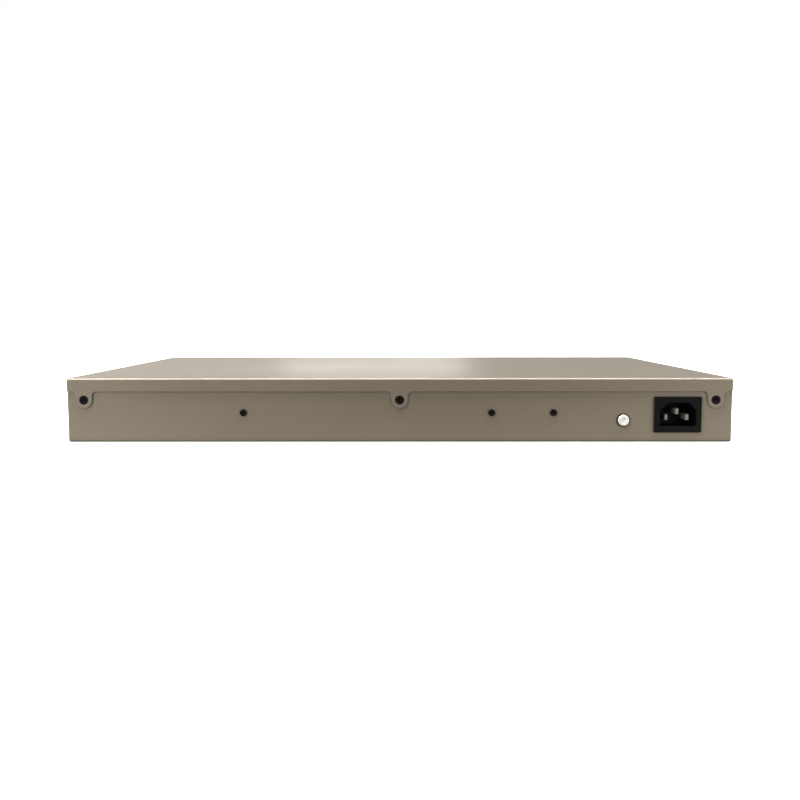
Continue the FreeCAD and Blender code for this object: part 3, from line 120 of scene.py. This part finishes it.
# ---------------------------------------------------------------- driving values: camera and studio
CAMERA_BEHIND = 0.6058  # behind the back wall
CAMERA_SIDE = -0.0022
CAMERA_UP = 0.0857
PITCH = math.radians(5.446)
YAW = math.radians(0.18)
ROLL = math.radians(-0.037)
LENS, SENSOR = 41.41, 36.0
FLOOR_HALF = 30.0
FLOOR_GAP = 0.0003
FLOOR_GREY, FLOOR_PALE = (0.80, 0.80, 0.80), (0.84, 0.84, 0.84)
TENT_R = 6.0
TENT_LOW, TENT_HIGH = 0.12, 0.14  # its brightness at the bottom and at the top
WARM = (1.0, 0.98, 0.95)
WHITE = (1.0, 1.0, 1.0)
BODY = (0.0, 0.0, 0.02)
REAR = (0.0, REAR_Y, 0.02)
COVER = (0.03, 0.0, 0.04)
BOUNCE_Y = REAR_Y + 0.028
# watts: the key from the upper left, pairs low at the sides, and the back lights that the cover
# reflects; the overhead strip is twice the key
KEY_WATTS = 18.0
SIDE_WATTS = 5.0
LEFT_END_WATTS, RIGHT_END_WATTS = 2.5, 1.2
OVERHEAD_WATTS = 2 * KEY_WATTS
WALL_WATTS = 8.5
GLOW_WATTS = 1.6
FRONT_LEFT_WATTS, FRONT_RIGHT_WATTS = 10.0, 6.0
BOUNCE_WATTS = 0.05
# name: place, what it points at, width and height, watts, colour
LIGHTS = {
    "key": ((1.1, 1.3, 1.3), REAR, (0.5, 0.5), KEY_WATTS, WARM),
    "left_side": ((0.85, 1.2, 0.2), REAR, (0.5, 0.8), SIDE_WATTS, WARM),
    "left_end": ((1.2, 1.0, 0.2), REAR, (0.4, 0.6), LEFT_END_WATTS, WARM),
    "right_side": ((-0.85, 1.2, 0.2), REAR, (0.5, 0.8), SIDE_WATTS, WARM),
    "right_end": ((-1.2, 1.0, 0.2), REAR, (0.4, 0.6), RIGHT_END_WATTS, WARM),
    "overhead": ((0.0, 0.3, 1.2), BODY, (2.5, 0.3), OVERHEAD_WATTS, WARM),
    "backdrop_glow": ((0.07, -1.5, 0.25), COVER, (0.45, 0.5), GLOW_WATTS, WARM),
    "back_wall": ((0.0, -2.2, 0.5), BODY, (4.0, 1.2), WALL_WATTS, WARM),
    "back_left": ((0.75, -1.6, 0.4), BODY, (0.9, 0.8), GLOW_WATTS, WARM),
    "front_left": ((-1.4, -0.9, 0.9), BODY, (0.6, 0.6), FRONT_LEFT_WATTS, WHITE),
    "front_right": ((1.4, -0.9, 0.9), BODY, (0.6, 0.6), FRONT_RIGHT_WATTS, WHITE),
    "floor_bounce": ((0.0, BOUNCE_Y, 0.0005), (0.0, BOUNCE_Y, 1.0), (0.6, 0.05), BOUNCE_WATTS, WARM),
}


# ---------------------------------------------------------------- node helpers
def new_material(name):
    material = bpy.data.materials.new(name)
    material.use_nodes = True
    return material, material.node_tree, material.node_tree.nodes["Principled BSDF"]


def add(tree, kind, **inputs):
    """A shader node, with values for its named inputs."""
    node = tree.nodes.new(kind)
    for key, value in inputs.items():
        node.inputs[key.replace("_", " ")].default_value = value
    return node


def math_node(tree, operation, a, b=None, clamp=False):
    node = tree.nodes.new("ShaderNodeMath")
    node.operation = operation
    node.use_clamp = clamp
    for socket, value in zip(node.inputs, (a, b)):
        if value is None:
            continue
        if isinstance(value, (int, float)):
            socket.default_value = value
        else:
            tree.links.new(value, socket)
    return node.outputs[0]


def mix_colour(tree, factor, a, b):
    node = tree.nodes.new("ShaderNodeMix")
    node.data_type = "RGBA"
    for key, value in ((0, factor), (6, a), (7, b)):
        socket = node.inputs[key]
        if isinstance(value, (int, float)):
            socket.default_value = value
        elif isinstance(value, (tuple, list)):
            socket.default_value = (*value[:3], 1.0)
        else:
            tree.links.new(value, socket)
    return node.outputs[2]


def place(tree, stretch=(1.0, 1.0, 1.0)):
    """Object coordinates in metres, stretched for a grain that runs one way."""
    coords = tree.nodes.new("ShaderNodeTexCoord")
    mapping = tree.nodes.new("ShaderNodeMapping")
    mapping.inputs["Scale"].default_value = stretch
    tree.links.new(coords.outputs["Object"], mapping.inputs["Vector"])
    return mapping.outputs["Vector"]


def noise(tree, vector, size, detail=3.0, roughness=0.55):
    """Noise whose features are about `size` metres across."""
    node = add(tree, "ShaderNodeTexNoise", Scale=1.0 / size, Detail=detail, Roughness=roughness)
    tree.links.new(vector, node.inputs["Vector"])
    return node.outputs["Fac"]


def map_range(tree, value, start, end):
    """Maps a value from one range onto another, and holds it at the ends."""
    node = add(
        tree, "ShaderNodeMapRange", From_Min=start[0], From_Max=start[1], To_Min=end[0], To_Max=end[1],
    )
    tree.links.new(value, node.inputs["Value"])
    return node.outputs["Result"]


def spread(tree, value, low, high):
    """Maps noise, which keeps near the middle of 0 to 1, onto low to high."""
    return map_range(tree, value, NOISE_RANGE, (low, high))


def edge_mask(tree, radius):
    """Near 1 on convex and concave edges within the radius and 0 on flats."""
    bevel = add(tree, "ShaderNodeBevel", Radius=radius)
    bevel.samples = 4
    flat = tree.nodes.new("ShaderNodeNewGeometry")
    dot = tree.nodes.new("ShaderNodeVectorMath")
    dot.operation = "DOT_PRODUCT"
    tree.links.new(bevel.outputs["Normal"], dot.inputs[0])
    tree.links.new(flat.outputs["True Normal"], dot.inputs[1])
    turned = math_node(tree, "SUBTRACT", 1.0, dot.outputs["Value"])
    return math_node(tree, "MULTIPLY", turned, EDGE_GAIN, clamp=True)


def bump(tree, height, depth, strength=1.0, normal=None):
    node = add(tree, "ShaderNodeBump", Strength=strength, Distance=depth)
    tree.links.new(height, node.inputs["Height"])
    if normal is not None:
        tree.links.new(normal, node.inputs["Normal"])
    return node.outputs["Normal"]


def rounded_normal(tree, radius):
    """Softens hard edges by the radius, so that they catch the light."""
    node = add(tree, "ShaderNodeBevel", Radius=radius)
    node.samples = 4
    return node.outputs["Normal"]


def surface(
    name, colour, *, metallic=0.0, roughness=0.5, tone=0.12, tone_size=0.02, grain=0.0006,
    grain_depth=0.000008, stretch=(1.0, 1.0, 1.0), wear=None, wear_radius=0.0005, round_edges=0.0002,
    roughness_spread=0.08, coat=0.0, transmission=0.0, emission=None, specular=0.5,
):
    """A material with a drifting tone, a fine grain in bump and roughness, and worn edges."""
    material, tree, shader = new_material(name)
    where = place(tree, stretch)
    drift = noise(tree, where, tone_size)
    fine = noise(tree, where, grain, detail=4.0)
    dark = [c * (1 - tone) for c in colour]
    light = [min(1.0, c * (1 + tone)) for c in colour]
    shade = mix_colour(tree, spread(tree, drift, 0.0, 1.0), dark, light)
    speck = mix_colour(tree, spread(tree, fine, 0.0, 0.35), shade, dark)
    if wear is not None:
        patchy = spread(tree, drift, 0.2, 0.9)
        worn = math_node(tree, "MULTIPLY", edge_mask(tree, wear_radius), patchy, clamp=True)
        speck = mix_colour(tree, worn, speck, wear)
    tree.links.new(speck, shader.inputs["Base Color"])
    rough = math_node(
        tree, "ADD", spread(tree, fine, -roughness_spread, roughness_spread),
        spread(tree, drift, roughness - 0.04, roughness + 0.04), clamp=True,
    )
    tree.links.new(rough, shader.inputs["Roughness"])
    normal = bump(tree, fine, grain_depth, normal=rounded_normal(tree, round_edges))
    tree.links.new(normal, shader.inputs["Normal"])
    shader.inputs["Metallic"].default_value = metallic
    shader.inputs["Specular IOR Level"].default_value = specular
    shader.inputs["Coat Weight"].default_value = coat
    shader.inputs["Coat Roughness"].default_value = 0.25
    shader.inputs["Transmission Weight"].default_value = transmission
    if emission is not None:
        shader.inputs["Emission Color"].default_value = (*emission[0], 1.0)
        shader.inputs["Emission Strength"].default_value = emission[1]
    return material


# ---------------------------------------------------------------- materials
def top_bend(tree):
    """How much painted highlight the folds at the top take, by how far their faces tilt up: 0 on the flat
    sheets.
    """
    split = tree.nodes.new("ShaderNodeSeparateXYZ")
    tree.links.new(tree.nodes.new("ShaderNodeNewGeometry").outputs["True Normal"], split.inputs[0])
    rise = map_range(tree, split.outputs["Z"], (0.10, 0.35), (0.0, BEND_HIGHLIGHT_SHARE))
    fall = map_range(tree, split.outputs["Z"], (0.96, 0.998), (1.0, 0.0))
    return math_node(tree, "MULTIPLY", rise, fall, clamp=True)


def enclosure_paint():
    """Satin metallic powder coat: a warm grey-bronze base, fine flakes and a low orange peel."""
    material, tree, shader = new_material("enclosure_paint")
    where = place(tree)
    drift = noise(tree, where, DRIFT_SIZE, detail=2.0)
    peel = noise(tree, where, PEEL_SIZE, detail=2.0)
    flake = noise(tree, where, FLAKE_SIZE, detail=2.0)
    base = mix_colour(tree, spread(tree, drift, 0.0, 1.0), PAINT_DARK, PAINT_LIGHT)
    flaked = mix_colour(tree, spread(tree, flake, 0.0, 0.22), base, PAINT_FLAKE)
    worn = math_node(tree, "MULTIPLY", edge_mask(tree, 0.0006), 0.22)
    rubbed = mix_colour(tree, worn, flaked, PAINT_FLAKE)
    # painted highlight on the folds at the top, mixed over the paint colour
    tree.links.new(mix_colour(tree, top_bend(tree), rubbed, PAINT_BEND_HIGHLIGHT), shader.inputs["Base Color"])
    shader.inputs["Metallic"].default_value = PAINT_METALLIC
    broad = spread(tree, drift, 0.40, 0.46)
    rough = math_node(tree, "ADD", spread(tree, flake, -0.05, 0.05), broad, clamp=True)
    tree.links.new(rough, shader.inputs["Roughness"])
    soft = rounded_normal(tree, 0.0004)
    orange_peel = bump(tree, peel, PEEL_DEPTH, normal=soft)
    tree.links.new(bump(tree, flake, FLAKE_DEPTH, normal=orange_peel), shader.inputs["Normal"])
    shader.inputs["Specular IOR Level"].default_value = 0.5
    return material


def board_material():
    """Green solder mask with copper tracks under it and bare pads in rows."""
    material, tree, shader = new_material("board_green")
    where = place(tree)
    bricks = add(
        tree, "ShaderNodeTexBrick", Scale=160.0, Mortar_Size=0.06, Mortar_Smooth=0.3, Bias=0.0,
        Brick_Width=1.7, Row_Height=0.22,
    )
    tree.links.new(where, bricks.inputs["Vector"])
    tracks = mix_colour(tree, bricks.outputs["Fac"], BOARD_MASK, BOARD_TRACK)
    dots = add(tree, "ShaderNodeTexVoronoi", Scale=420.0, Randomness=0.85)
    tree.links.new(where, dots.inputs["Vector"])
    via = math_node(tree, "LESS_THAN", dots.outputs["Distance"], 0.13)
    tree.links.new(mix_colour(tree, via, tracks, SOLDER), shader.inputs["Base Color"])
    tree.links.new(math_node(tree, "MULTIPLY", via, 0.9), shader.inputs["Metallic"])
    shader.inputs["Roughness"].default_value = 0.34
    tree.links.new(bump(tree, bricks.outputs["Fac"], 0.00003), shader.inputs["Normal"])
    return material


def wound_material(name, colour, pitch, axis):
    """Enamelled wire laid turn beside turn along an axis (0, 1 or 2), with painted shade in the grooves
    between turns and a painted highlight on their crowns.
    """
    material, tree, shader = new_material(name)
    where = place(tree)
    split = tree.nodes.new("ShaderNodeSeparateXYZ")
    tree.links.new(where, split.inputs[0])
    turns = math_node(tree, "SINE", math_node(tree, "MULTIPLY", split.outputs[axis], 2 * math.pi / pitch))
    lit = math_node(tree, "MULTIPLY", math_node(tree, "ADD", turns, 1.0), 0.5)
    # painted shade and highlight: a darkened copy of the wire colour in the grooves, full colour on the
    # crowns of the turns
    dark = [c * 0.35 for c in colour]
    tree.links.new(mix_colour(tree, lit, dark, colour), shader.inputs["Base Color"])
    tree.links.new(bump(tree, lit, pitch * 0.3), shader.inputs["Normal"])
    shader.inputs["Metallic"].default_value = 0.85
    shader.inputs["Roughness"].default_value = 0.32
    return material


MATERIALS = {
    "enclosure_paint": enclosure_paint(),
    "front_film": surface("front_film", (0.020, 0.021, 0.024), roughness=0.42, grain=0.0003, tone=0.05),
    "black_screw": surface(
        "black_screw", (0.0042, 0.0040, 0.0032), roughness=0.48, wear=(0.03, 0.028, 0.024),
        wear_radius=0.0002, grain=0.0002, round_edges=0.00015, specular=0.10,
    ),
    "zinc_steel": surface(
        "zinc_steel", ZINC, metallic=1.0, roughness=0.34, stretch=(1.0, 12.0, 1.0), grain=0.0008,
    ),
    "nickel": surface(
        "nickel", (0.90, 0.89, 0.86), metallic=0.75, roughness=0.42, grain=0.0004, tone=0.05,
        tone_size=0.003, grain_depth=0.000001, wear=(0.95, 0.94, 0.92), wear_radius=0.0003,
    ),
    "blade": surface("blade", (0.27, 0.26, 0.245), metallic=0.45, roughness=0.48, grain=0.0003, tone=0.15),
    "inlet_plastic": surface(
        "inlet_plastic", BLACK_PLASTIC, roughness=0.42, grain=0.00022, tone=0.2, grain_depth=0.000006,
        round_edges=0.0003, specular=0.10,
    ),
    "ac_insulation": surface("ac_insulation", (0.16, 0.06, 0.03), roughness=0.45),
    "earth_insulation": surface("earth_insulation", (0.10, 0.30, 0.04), roughness=0.45),
    "board_green": board_material(),
    "insulator_film": surface("insulator_film", (0.03, 0.03, 0.03), roughness=0.3),
    "ferrite": surface("ferrite", (0.035, 0.034, 0.034), roughness=0.55, grain=0.0004, tone=0.2),
    "winding_tape": surface("winding_tape", (0.62, 0.43, 0.03), roughness=0.3, stretch=(1, 1, 14)),
    "can_sleeve": surface("can_sleeve", (0.012, 0.016, 0.05), roughness=0.2, coat=0.4),
    "heatsink": surface(
        "heatsink", (0.55, 0.56, 0.58), metallic=1.0, roughness=0.38, stretch=(20.0, 1.0, 20.0),
        grain=0.004,
    ),
    "package_black": surface("package_black", (0.018, 0.018, 0.019), roughness=0.6, grain=0.0002),
    "copper": wound_material("copper", (0.62, 0.25, 0.08), 0.0016, 0),
    "fuse_glass": surface(
        "fuse_glass", (0.82, 0.87, 0.86), roughness=0.08, roughness_spread=0.02, tone=0.03,
        grain_depth=0.000001, transmission=0.8,
    ),
    "film_box": surface("film_box", (0.60, 0.42, 0.04), roughness=0.35),
    "nylon": surface("nylon", (0.70, 0.68, 0.62), roughness=0.42, grain=0.0004),
    "dc_insulation": surface("dc_insulation", (0.32, 0.015, 0.012), roughness=0.4),
    "fan_insulation": surface("fan_insulation", (0.02, 0.02, 0.02), roughness=0.45),
    "jack_plastic": surface("jack_plastic", (0.018, 0.018, 0.019), roughness=0.5, grain=0.00025, tone=0.15),
    "tin_shield": surface(
        "tin_shield", (0.62, 0.62, 0.60), metallic=1.0, roughness=0.27, stretch=(1.0, 1.0, 10.0),
        grain=0.003, grain_depth=0.000003, wear=(0.85, 0.85, 0.83),
    ),
    "gold_contact": surface("gold_contact", (0.83, 0.55, 0.16), metallic=1.0, roughness=0.2, grain=0.0002),
    "connector_black": surface("connector_black", (0.016, 0.016, 0.017), roughness=0.5, grain=0.00025),
    "led_lens": surface(
        "led_lens", (0.30, 0.62, 0.22), roughness=0.25, coat=0.5, emission=((0.2, 0.9, 0.15), 0.05),
    ),
    "lamp_green": surface(
        "lamp_green", (0.16, 0.42, 0.10), roughness=0.22, coat=0.6, tone=0.06,
        emission=((0.15, 0.8, 0.1), 0.04),
    ),
    "lamp_amber": surface(
        "lamp_amber", (0.60, 0.30, 0.03), roughness=0.22, coat=0.6, tone=0.06,
        emission=((0.9, 0.45, 0.05), 0.04),
    ),
    "ink": surface("ink", (0.62, 0.62, 0.60), roughness=0.5, grain=0.0001, tone=0.05, round_edges=0.00001),
    "rubber": surface("rubber", (0.022, 0.022, 0.022), roughness=0.8, grain=0.0003, tone=0.2, specular=0.3),
    "control_plastic": surface("control_plastic", (0.62, 0.62, 0.60), roughness=0.42, grain=0.0003),
    "fan_plastic": surface("fan_plastic", (0.017, 0.017, 0.018), roughness=0.46, grain=0.0004, tone=0.2),
    "fan_metal": wound_material("fan_metal", (0.55, 0.26, 0.10), 0.0007, 0),
}


def dress_cad_nodes():
    """Every CAD node takes the material of its slot in the record."""
    slot_of = {row["node"]: row["material_slot"] for row in frame["record"]["subparts"]}
    for name, obj in nodes.items():
        obj.data.materials.clear()
        obj.data.materials.append(MATERIALS[slot_of[name]])


dress_cad_nodes()


# ---------------------------------------------------------------- mesh helpers
def link(name, shape, material, body="chassis"):
    """A finished bmesh as a piece that rides on a body."""
    mesh = bpy.data.meshes.new(name)
    shape.to_mesh(mesh)
    shape.free()
    mesh.materials.append(material)
    obj = bpy.data.objects.new(name, mesh)
    bpy.context.scene.collection.objects.link(obj)
    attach(obj, body)
    return obj


def rounded_block(shape, low, high, radius, segments=2):
    """Adds a block with all its edges rounded to a bmesh."""
    made = bmesh.ops.create_cube(shape, size=1.0)["verts"]
    size = [b - a for a, b in zip(low, high)]
    middle = [(a + b) / 2 for a, b in zip(low, high)]
    for vert in made:
        vert.co = Vector([m + c * d for m, c, d in zip(middle, vert.co, size)])
    edges = list({edge for vert in made for edge in vert.link_edges})
    bmesh.ops.bevel(
        shape, geom=edges, offset=radius, segments=segments, profile=0.5, affect="EDGES",
        clamp_overlap=True,
    )


def turned_disc(shape, centre, profile, steps=64):
    """Adds a solid of revolution about an upright axis; profile is (radius, height) pairs."""
    cx, cy, cz = centre
    angles = [2 * math.pi * k / steps for k in range(steps)]
    around = [(math.cos(angle), math.sin(angle)) for angle in angles]
    rings = [
        [shape.verts.new((cx + radius * u, cy + radius * v, cz + height)) for u, v in around]
        for radius, height in profile
    ]
    for low, high in zip(rings, rings[1:]):
        for k in range(steps):
            n = (k + 1) % steps
            shape.faces.new((low[k], low[n], high[n], high[k]))
    shape.faces.new(list(reversed(rings[0])))
    shape.faces.new(rings[-1])


def finish_shape(shape):
    """Joins the corners that faces share, and points every face outwards."""
    bmesh.ops.remove_doubles(shape, verts=shape.verts, dist=WELD)
    bmesh.ops.recalc_face_normals(shape, faces=shape.faces)


# ---------------------------------------------------------------- details on the socket side
def socket_columns(name):
    """The x of each column of sockets in a block, lowest first."""
    low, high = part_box(f"{name}_jack_housing")
    count = round((high.x - low.x) / SOCKET_PITCH - 0.1)
    middle = (low.x + high.x) / 2
    return [middle + (k - (count - 1) / 2) * SOCKET_PITCH for k in range(count)]


def port_numbers():
    """(number, x, z, height) for every socket, cage and indicator."""
    low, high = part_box("left_jack_shield")
    above, below = high.z + NUMBER_GAP, low.z - NUMBER_GAP
    rows = []
    number = 1
    for name in BLOCKS:
        for x in socket_columns(name):
            rows.append((number, x, above, NUMBER_H))
            rows.append((number + 1, x, below, LOWER_NUMBER_H))
            number += 2
    cage_low, cage_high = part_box("sfp_cages")
    for side in (-1, 1):
        x = (cage_low.x + cage_high.x) / 2 + side * CAGE_PITCH / 2
        rows.append((number, x, cage_high.z + NUMBER_GAP, NUMBER_H))
        number += 1
    led_low, led_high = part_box("leds")
    step = (led_high.x - led_low.x - 2 * LED_R) / (LED_COLUMNS - 1)
    for k in range(LED_COLUMNS):
        x = led_low.x + LED_R + k * step
        rows.append((2 * k + 1, x, led_high.z + SMALL_NUMBER_GAP, SMALL_NUMBER_H))
        rows.append((2 * k + 2, x, led_low.z - SMALL_NUMBER_GAP, SMALL_NUMBER_H))
    return rows


def printed_numbers():
    """Numbers screen printed on the front film, as thin raised ink."""
    shape = bmesh.new()
    for number, x, z, height in port_numbers():
        curve = bpy.data.curves.new("number", "FONT")
        curve.body = str(number)
        curve.size = height * TYPE_SIZE
        curve.align_x, curve.align_y = "CENTER", "CENTER"
        curve.extrude = INK_PROUD
        curve.resolution_u = 3
        text = bpy.data.objects.new("number", curve)
        mesh = bpy.data.meshes.new_from_object(text)
        first = len(shape.verts)
        shape.from_mesh(mesh)
        shape.verts.ensure_lookup_table()
        for vert in shape.verts[first:]:
            across, up, out = vert.co
            vert.co = Vector((x + across, FILM_FRONT_Y - out, z + up))
        bpy.data.objects.remove(text)
        bpy.data.meshes.remove(mesh)
        bpy.data.curves.remove(curve)
    finish_shape(shape)
    link("printed_numbers", shape, MATERIALS["ink"])


def printed_line(shape, x0, x1, z0, z1):
    """Adds one line of ink on the front film."""
    low = (x0, FILM_FRONT_Y - INK_PROUD, z0)
    high = (x1, FILM_FRONT_Y + INK_PROUD, z1)
    rounded_block(shape, low, high, INK_ROUND, segments=1)


def printed_frames():
    """Thin printed lines round the indicators, and over and under the two controls."""
    shape = bmesh.new()
    led_low, led_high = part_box("leds")
    x0, x1 = led_low.x - LED_FRAME_X, led_high.x + LED_FRAME_X
    z0, z1 = led_low.z - LED_FRAME_Z, led_high.z + LED_FRAME_Z
    printed_line(shape, x0, x1, z0, z0 + INK_LINE)
    printed_line(shape, x0, x1, z1 - INK_LINE, z1)
    printed_line(shape, x0, x0 + INK_LINE, z0 + INK_LINE / 2, z1 - INK_LINE / 2)
    printed_line(shape, x1 - INK_LINE, x1, z0 + INK_LINE / 2, z1 - INK_LINE / 2)
    for name in ("reset_button", "mode_slider"):
        low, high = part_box(name)
        x0, x1 = low.x - CONTROL_LINE_X, high.x + CONTROL_LINE_X
        middle = (low.z + high.z) / 2
        for z in (middle - CONTROL_LINE_Z, middle + CONTROL_LINE_Z):
            printed_line(shape, x0, x1, z - INK_LINE / 2, z + INK_LINE / 2)
    finish_shape(shape)
    link("printed_frames", shape, MATERIALS["ink"])


def socket_lamps():
    """A green and an amber light pipe at the outer corners of every socket."""
    for name in BLOCKS:
        low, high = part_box(f"{name}_jack_shield")
        for side, colour in ((-1, "lamp_green"), (1, "lamp_amber")):
            shape = bmesh.new()
            for x in socket_columns(name):
                for z in (high.z - LAMP_INSET, low.z + LAMP_INSET):
                    centre = x + side * LAMP_ACROSS
                    front = (centre - LAMP_W / 2, low.y - LAMP_PROUD, z - LAMP_H / 2)
                    back = (centre + LAMP_W / 2, low.y + LAMP_DEPTH, z + LAMP_H / 2)
                    rounded_block(shape, front, back, LAMP_ROUND)
            finish_shape(shape)
            link(f"{name}_{colour}s", shape, MATERIALS[colour])


# ---------------------------------------------------------------- details on the underside
def foot_pads():
    """Thin ribbed rubber pads in the tray's four round seats, flush with the underside."""
    shape = bmesh.new()
    profile = [(radius * MM, height * MM) for radius, height in FOOT_PROFILE]
    for x in (-FOOT_X, FOOT_X):
        for y in (-FOOT_Y, FOOT_Y):
            turned_disc(shape, (x, y, tray_low.z), profile)
    finish_shape(shape)
    link("foot_pads", shape, MATERIALS["rubber"])


printed_numbers()
printed_frames()
socket_lamps()
foot_pads()


# ---------------------------------------------------------------- camera, floor, light
def make_camera():
    camera = bpy.data.objects.new("camera", bpy.data.cameras.new("camera"))
    camera.data.sensor_width = SENSOR
    camera.data.lens = LENS
    camera.location = (CAMERA_SIDE, REAR_Y + CAMERA_BEHIND, CAMERA_UP)
    ahead = Vector((math.sin(YAW) * math.cos(PITCH), -math.cos(YAW) * math.cos(PITCH), -math.sin(PITCH)))
    turn = ahead.to_track_quat("-Z", "Y") @ Quaternion((0.0, 0.0, 1.0), ROLL)
    camera.rotation_euler = turn.to_euler()
    bpy.context.scene.collection.objects.link(camera)
    bpy.context.scene.camera = camera


def glow(name, colour, strength):
    """A material that only shines."""
    material, tree, shader = new_material(name)
    shader.inputs["Base Color"].default_value = (0.0, 0.0, 0.0, 1.0)
    shader.inputs["Specular IOR Level"].default_value = 0.0
    shader.inputs["Emission Color"].default_value = (*colour, 1.0)
    shader.inputs["Emission Strength"].default_value = strength
    return material, tree, shader


def stage_piece(name, mesh, material):
    piece = bpy.data.objects.new(name, mesh)
    bpy.context.scene.collection.objects.link(piece)
    mesh.materials.append(material)
    return piece


def make_floor():
    """A white floor that is bright enough to hide its own shadows."""
    mesh = bpy.data.meshes.new("floor")
    z = cad_box[0].z - FLOOR_GAP
    corners = [(x * FLOOR_HALF, y * FLOOR_HALF, z) for x, y in ((-1, -1), (1, -1), (1, 1), (-1, 1))]
    mesh.from_pydata(corners, [], [(0, 1, 2, 3)])
    material, tree, shader = glow("floor", WHITE, 1.0)
    tint = mix_colour(tree, noise(tree, place(tree), 0.4), FLOOR_GREY, FLOOR_PALE)
    tree.links.new(tint, shader.inputs["Base Color"])
    floor = stage_piece("floor", mesh, material)
    floor.visible_diffuse = False
    floor.visible_glossy = False
    floor.visible_shadow = False


def make_tent():
    """A dim round tent that fills the shadows and gives metal something to reflect."""
    mesh = bpy.data.meshes.new("tent")
    shape = bmesh.new()
    bmesh.ops.create_uvsphere(shape, u_segments=48, v_segments=24, radius=TENT_R)
    shape.to_mesh(mesh)
    shape.free()
    material, tree, shader = glow("tent", WHITE, 1.0)
    split = tree.nodes.new("ShaderNodeSeparateXYZ")
    tree.links.new(place(tree), split.inputs[0])
    rise = map_range(tree, split.outputs["Z"], (-TENT_R, TENT_R), (TENT_LOW, TENT_HIGH))
    tree.links.new(rise, shader.inputs["Emission Strength"])
    tent = stage_piece("tent", mesh, material)
    tent.visible_camera = False
    tent.visible_shadow = False


def area_light(name, location, target, size, power, colour):
    data = bpy.data.lights.new(name, "AREA")
    data.shape = "RECTANGLE"
    data.size, data.size_y = size
    data.energy = power
    data.color = colour
    light = bpy.data.objects.new(name, data)
    light.location = location
    light.rotation_euler = (Vector(target) - Vector(location)).to_track_quat("-Z", "Y").to_euler()
    light.visible_camera = False
    bpy.context.scene.collection.objects.link(light)


def make_light():
    scene = bpy.context.scene
    world = bpy.data.worlds.new("studio")
    scene.world = world
    world.use_nodes = True
    background = world.node_tree.nodes["Background"]
    background.inputs["Color"].default_value = (*WHITE, 1.0)
    background.inputs["Strength"].default_value = 1.0
    scene.view_settings.view_transform = "Standard"
    for name, row in LIGHTS.items():
        area_light(name, *row)


make_camera()
make_floor()
make_tent()
make_light()
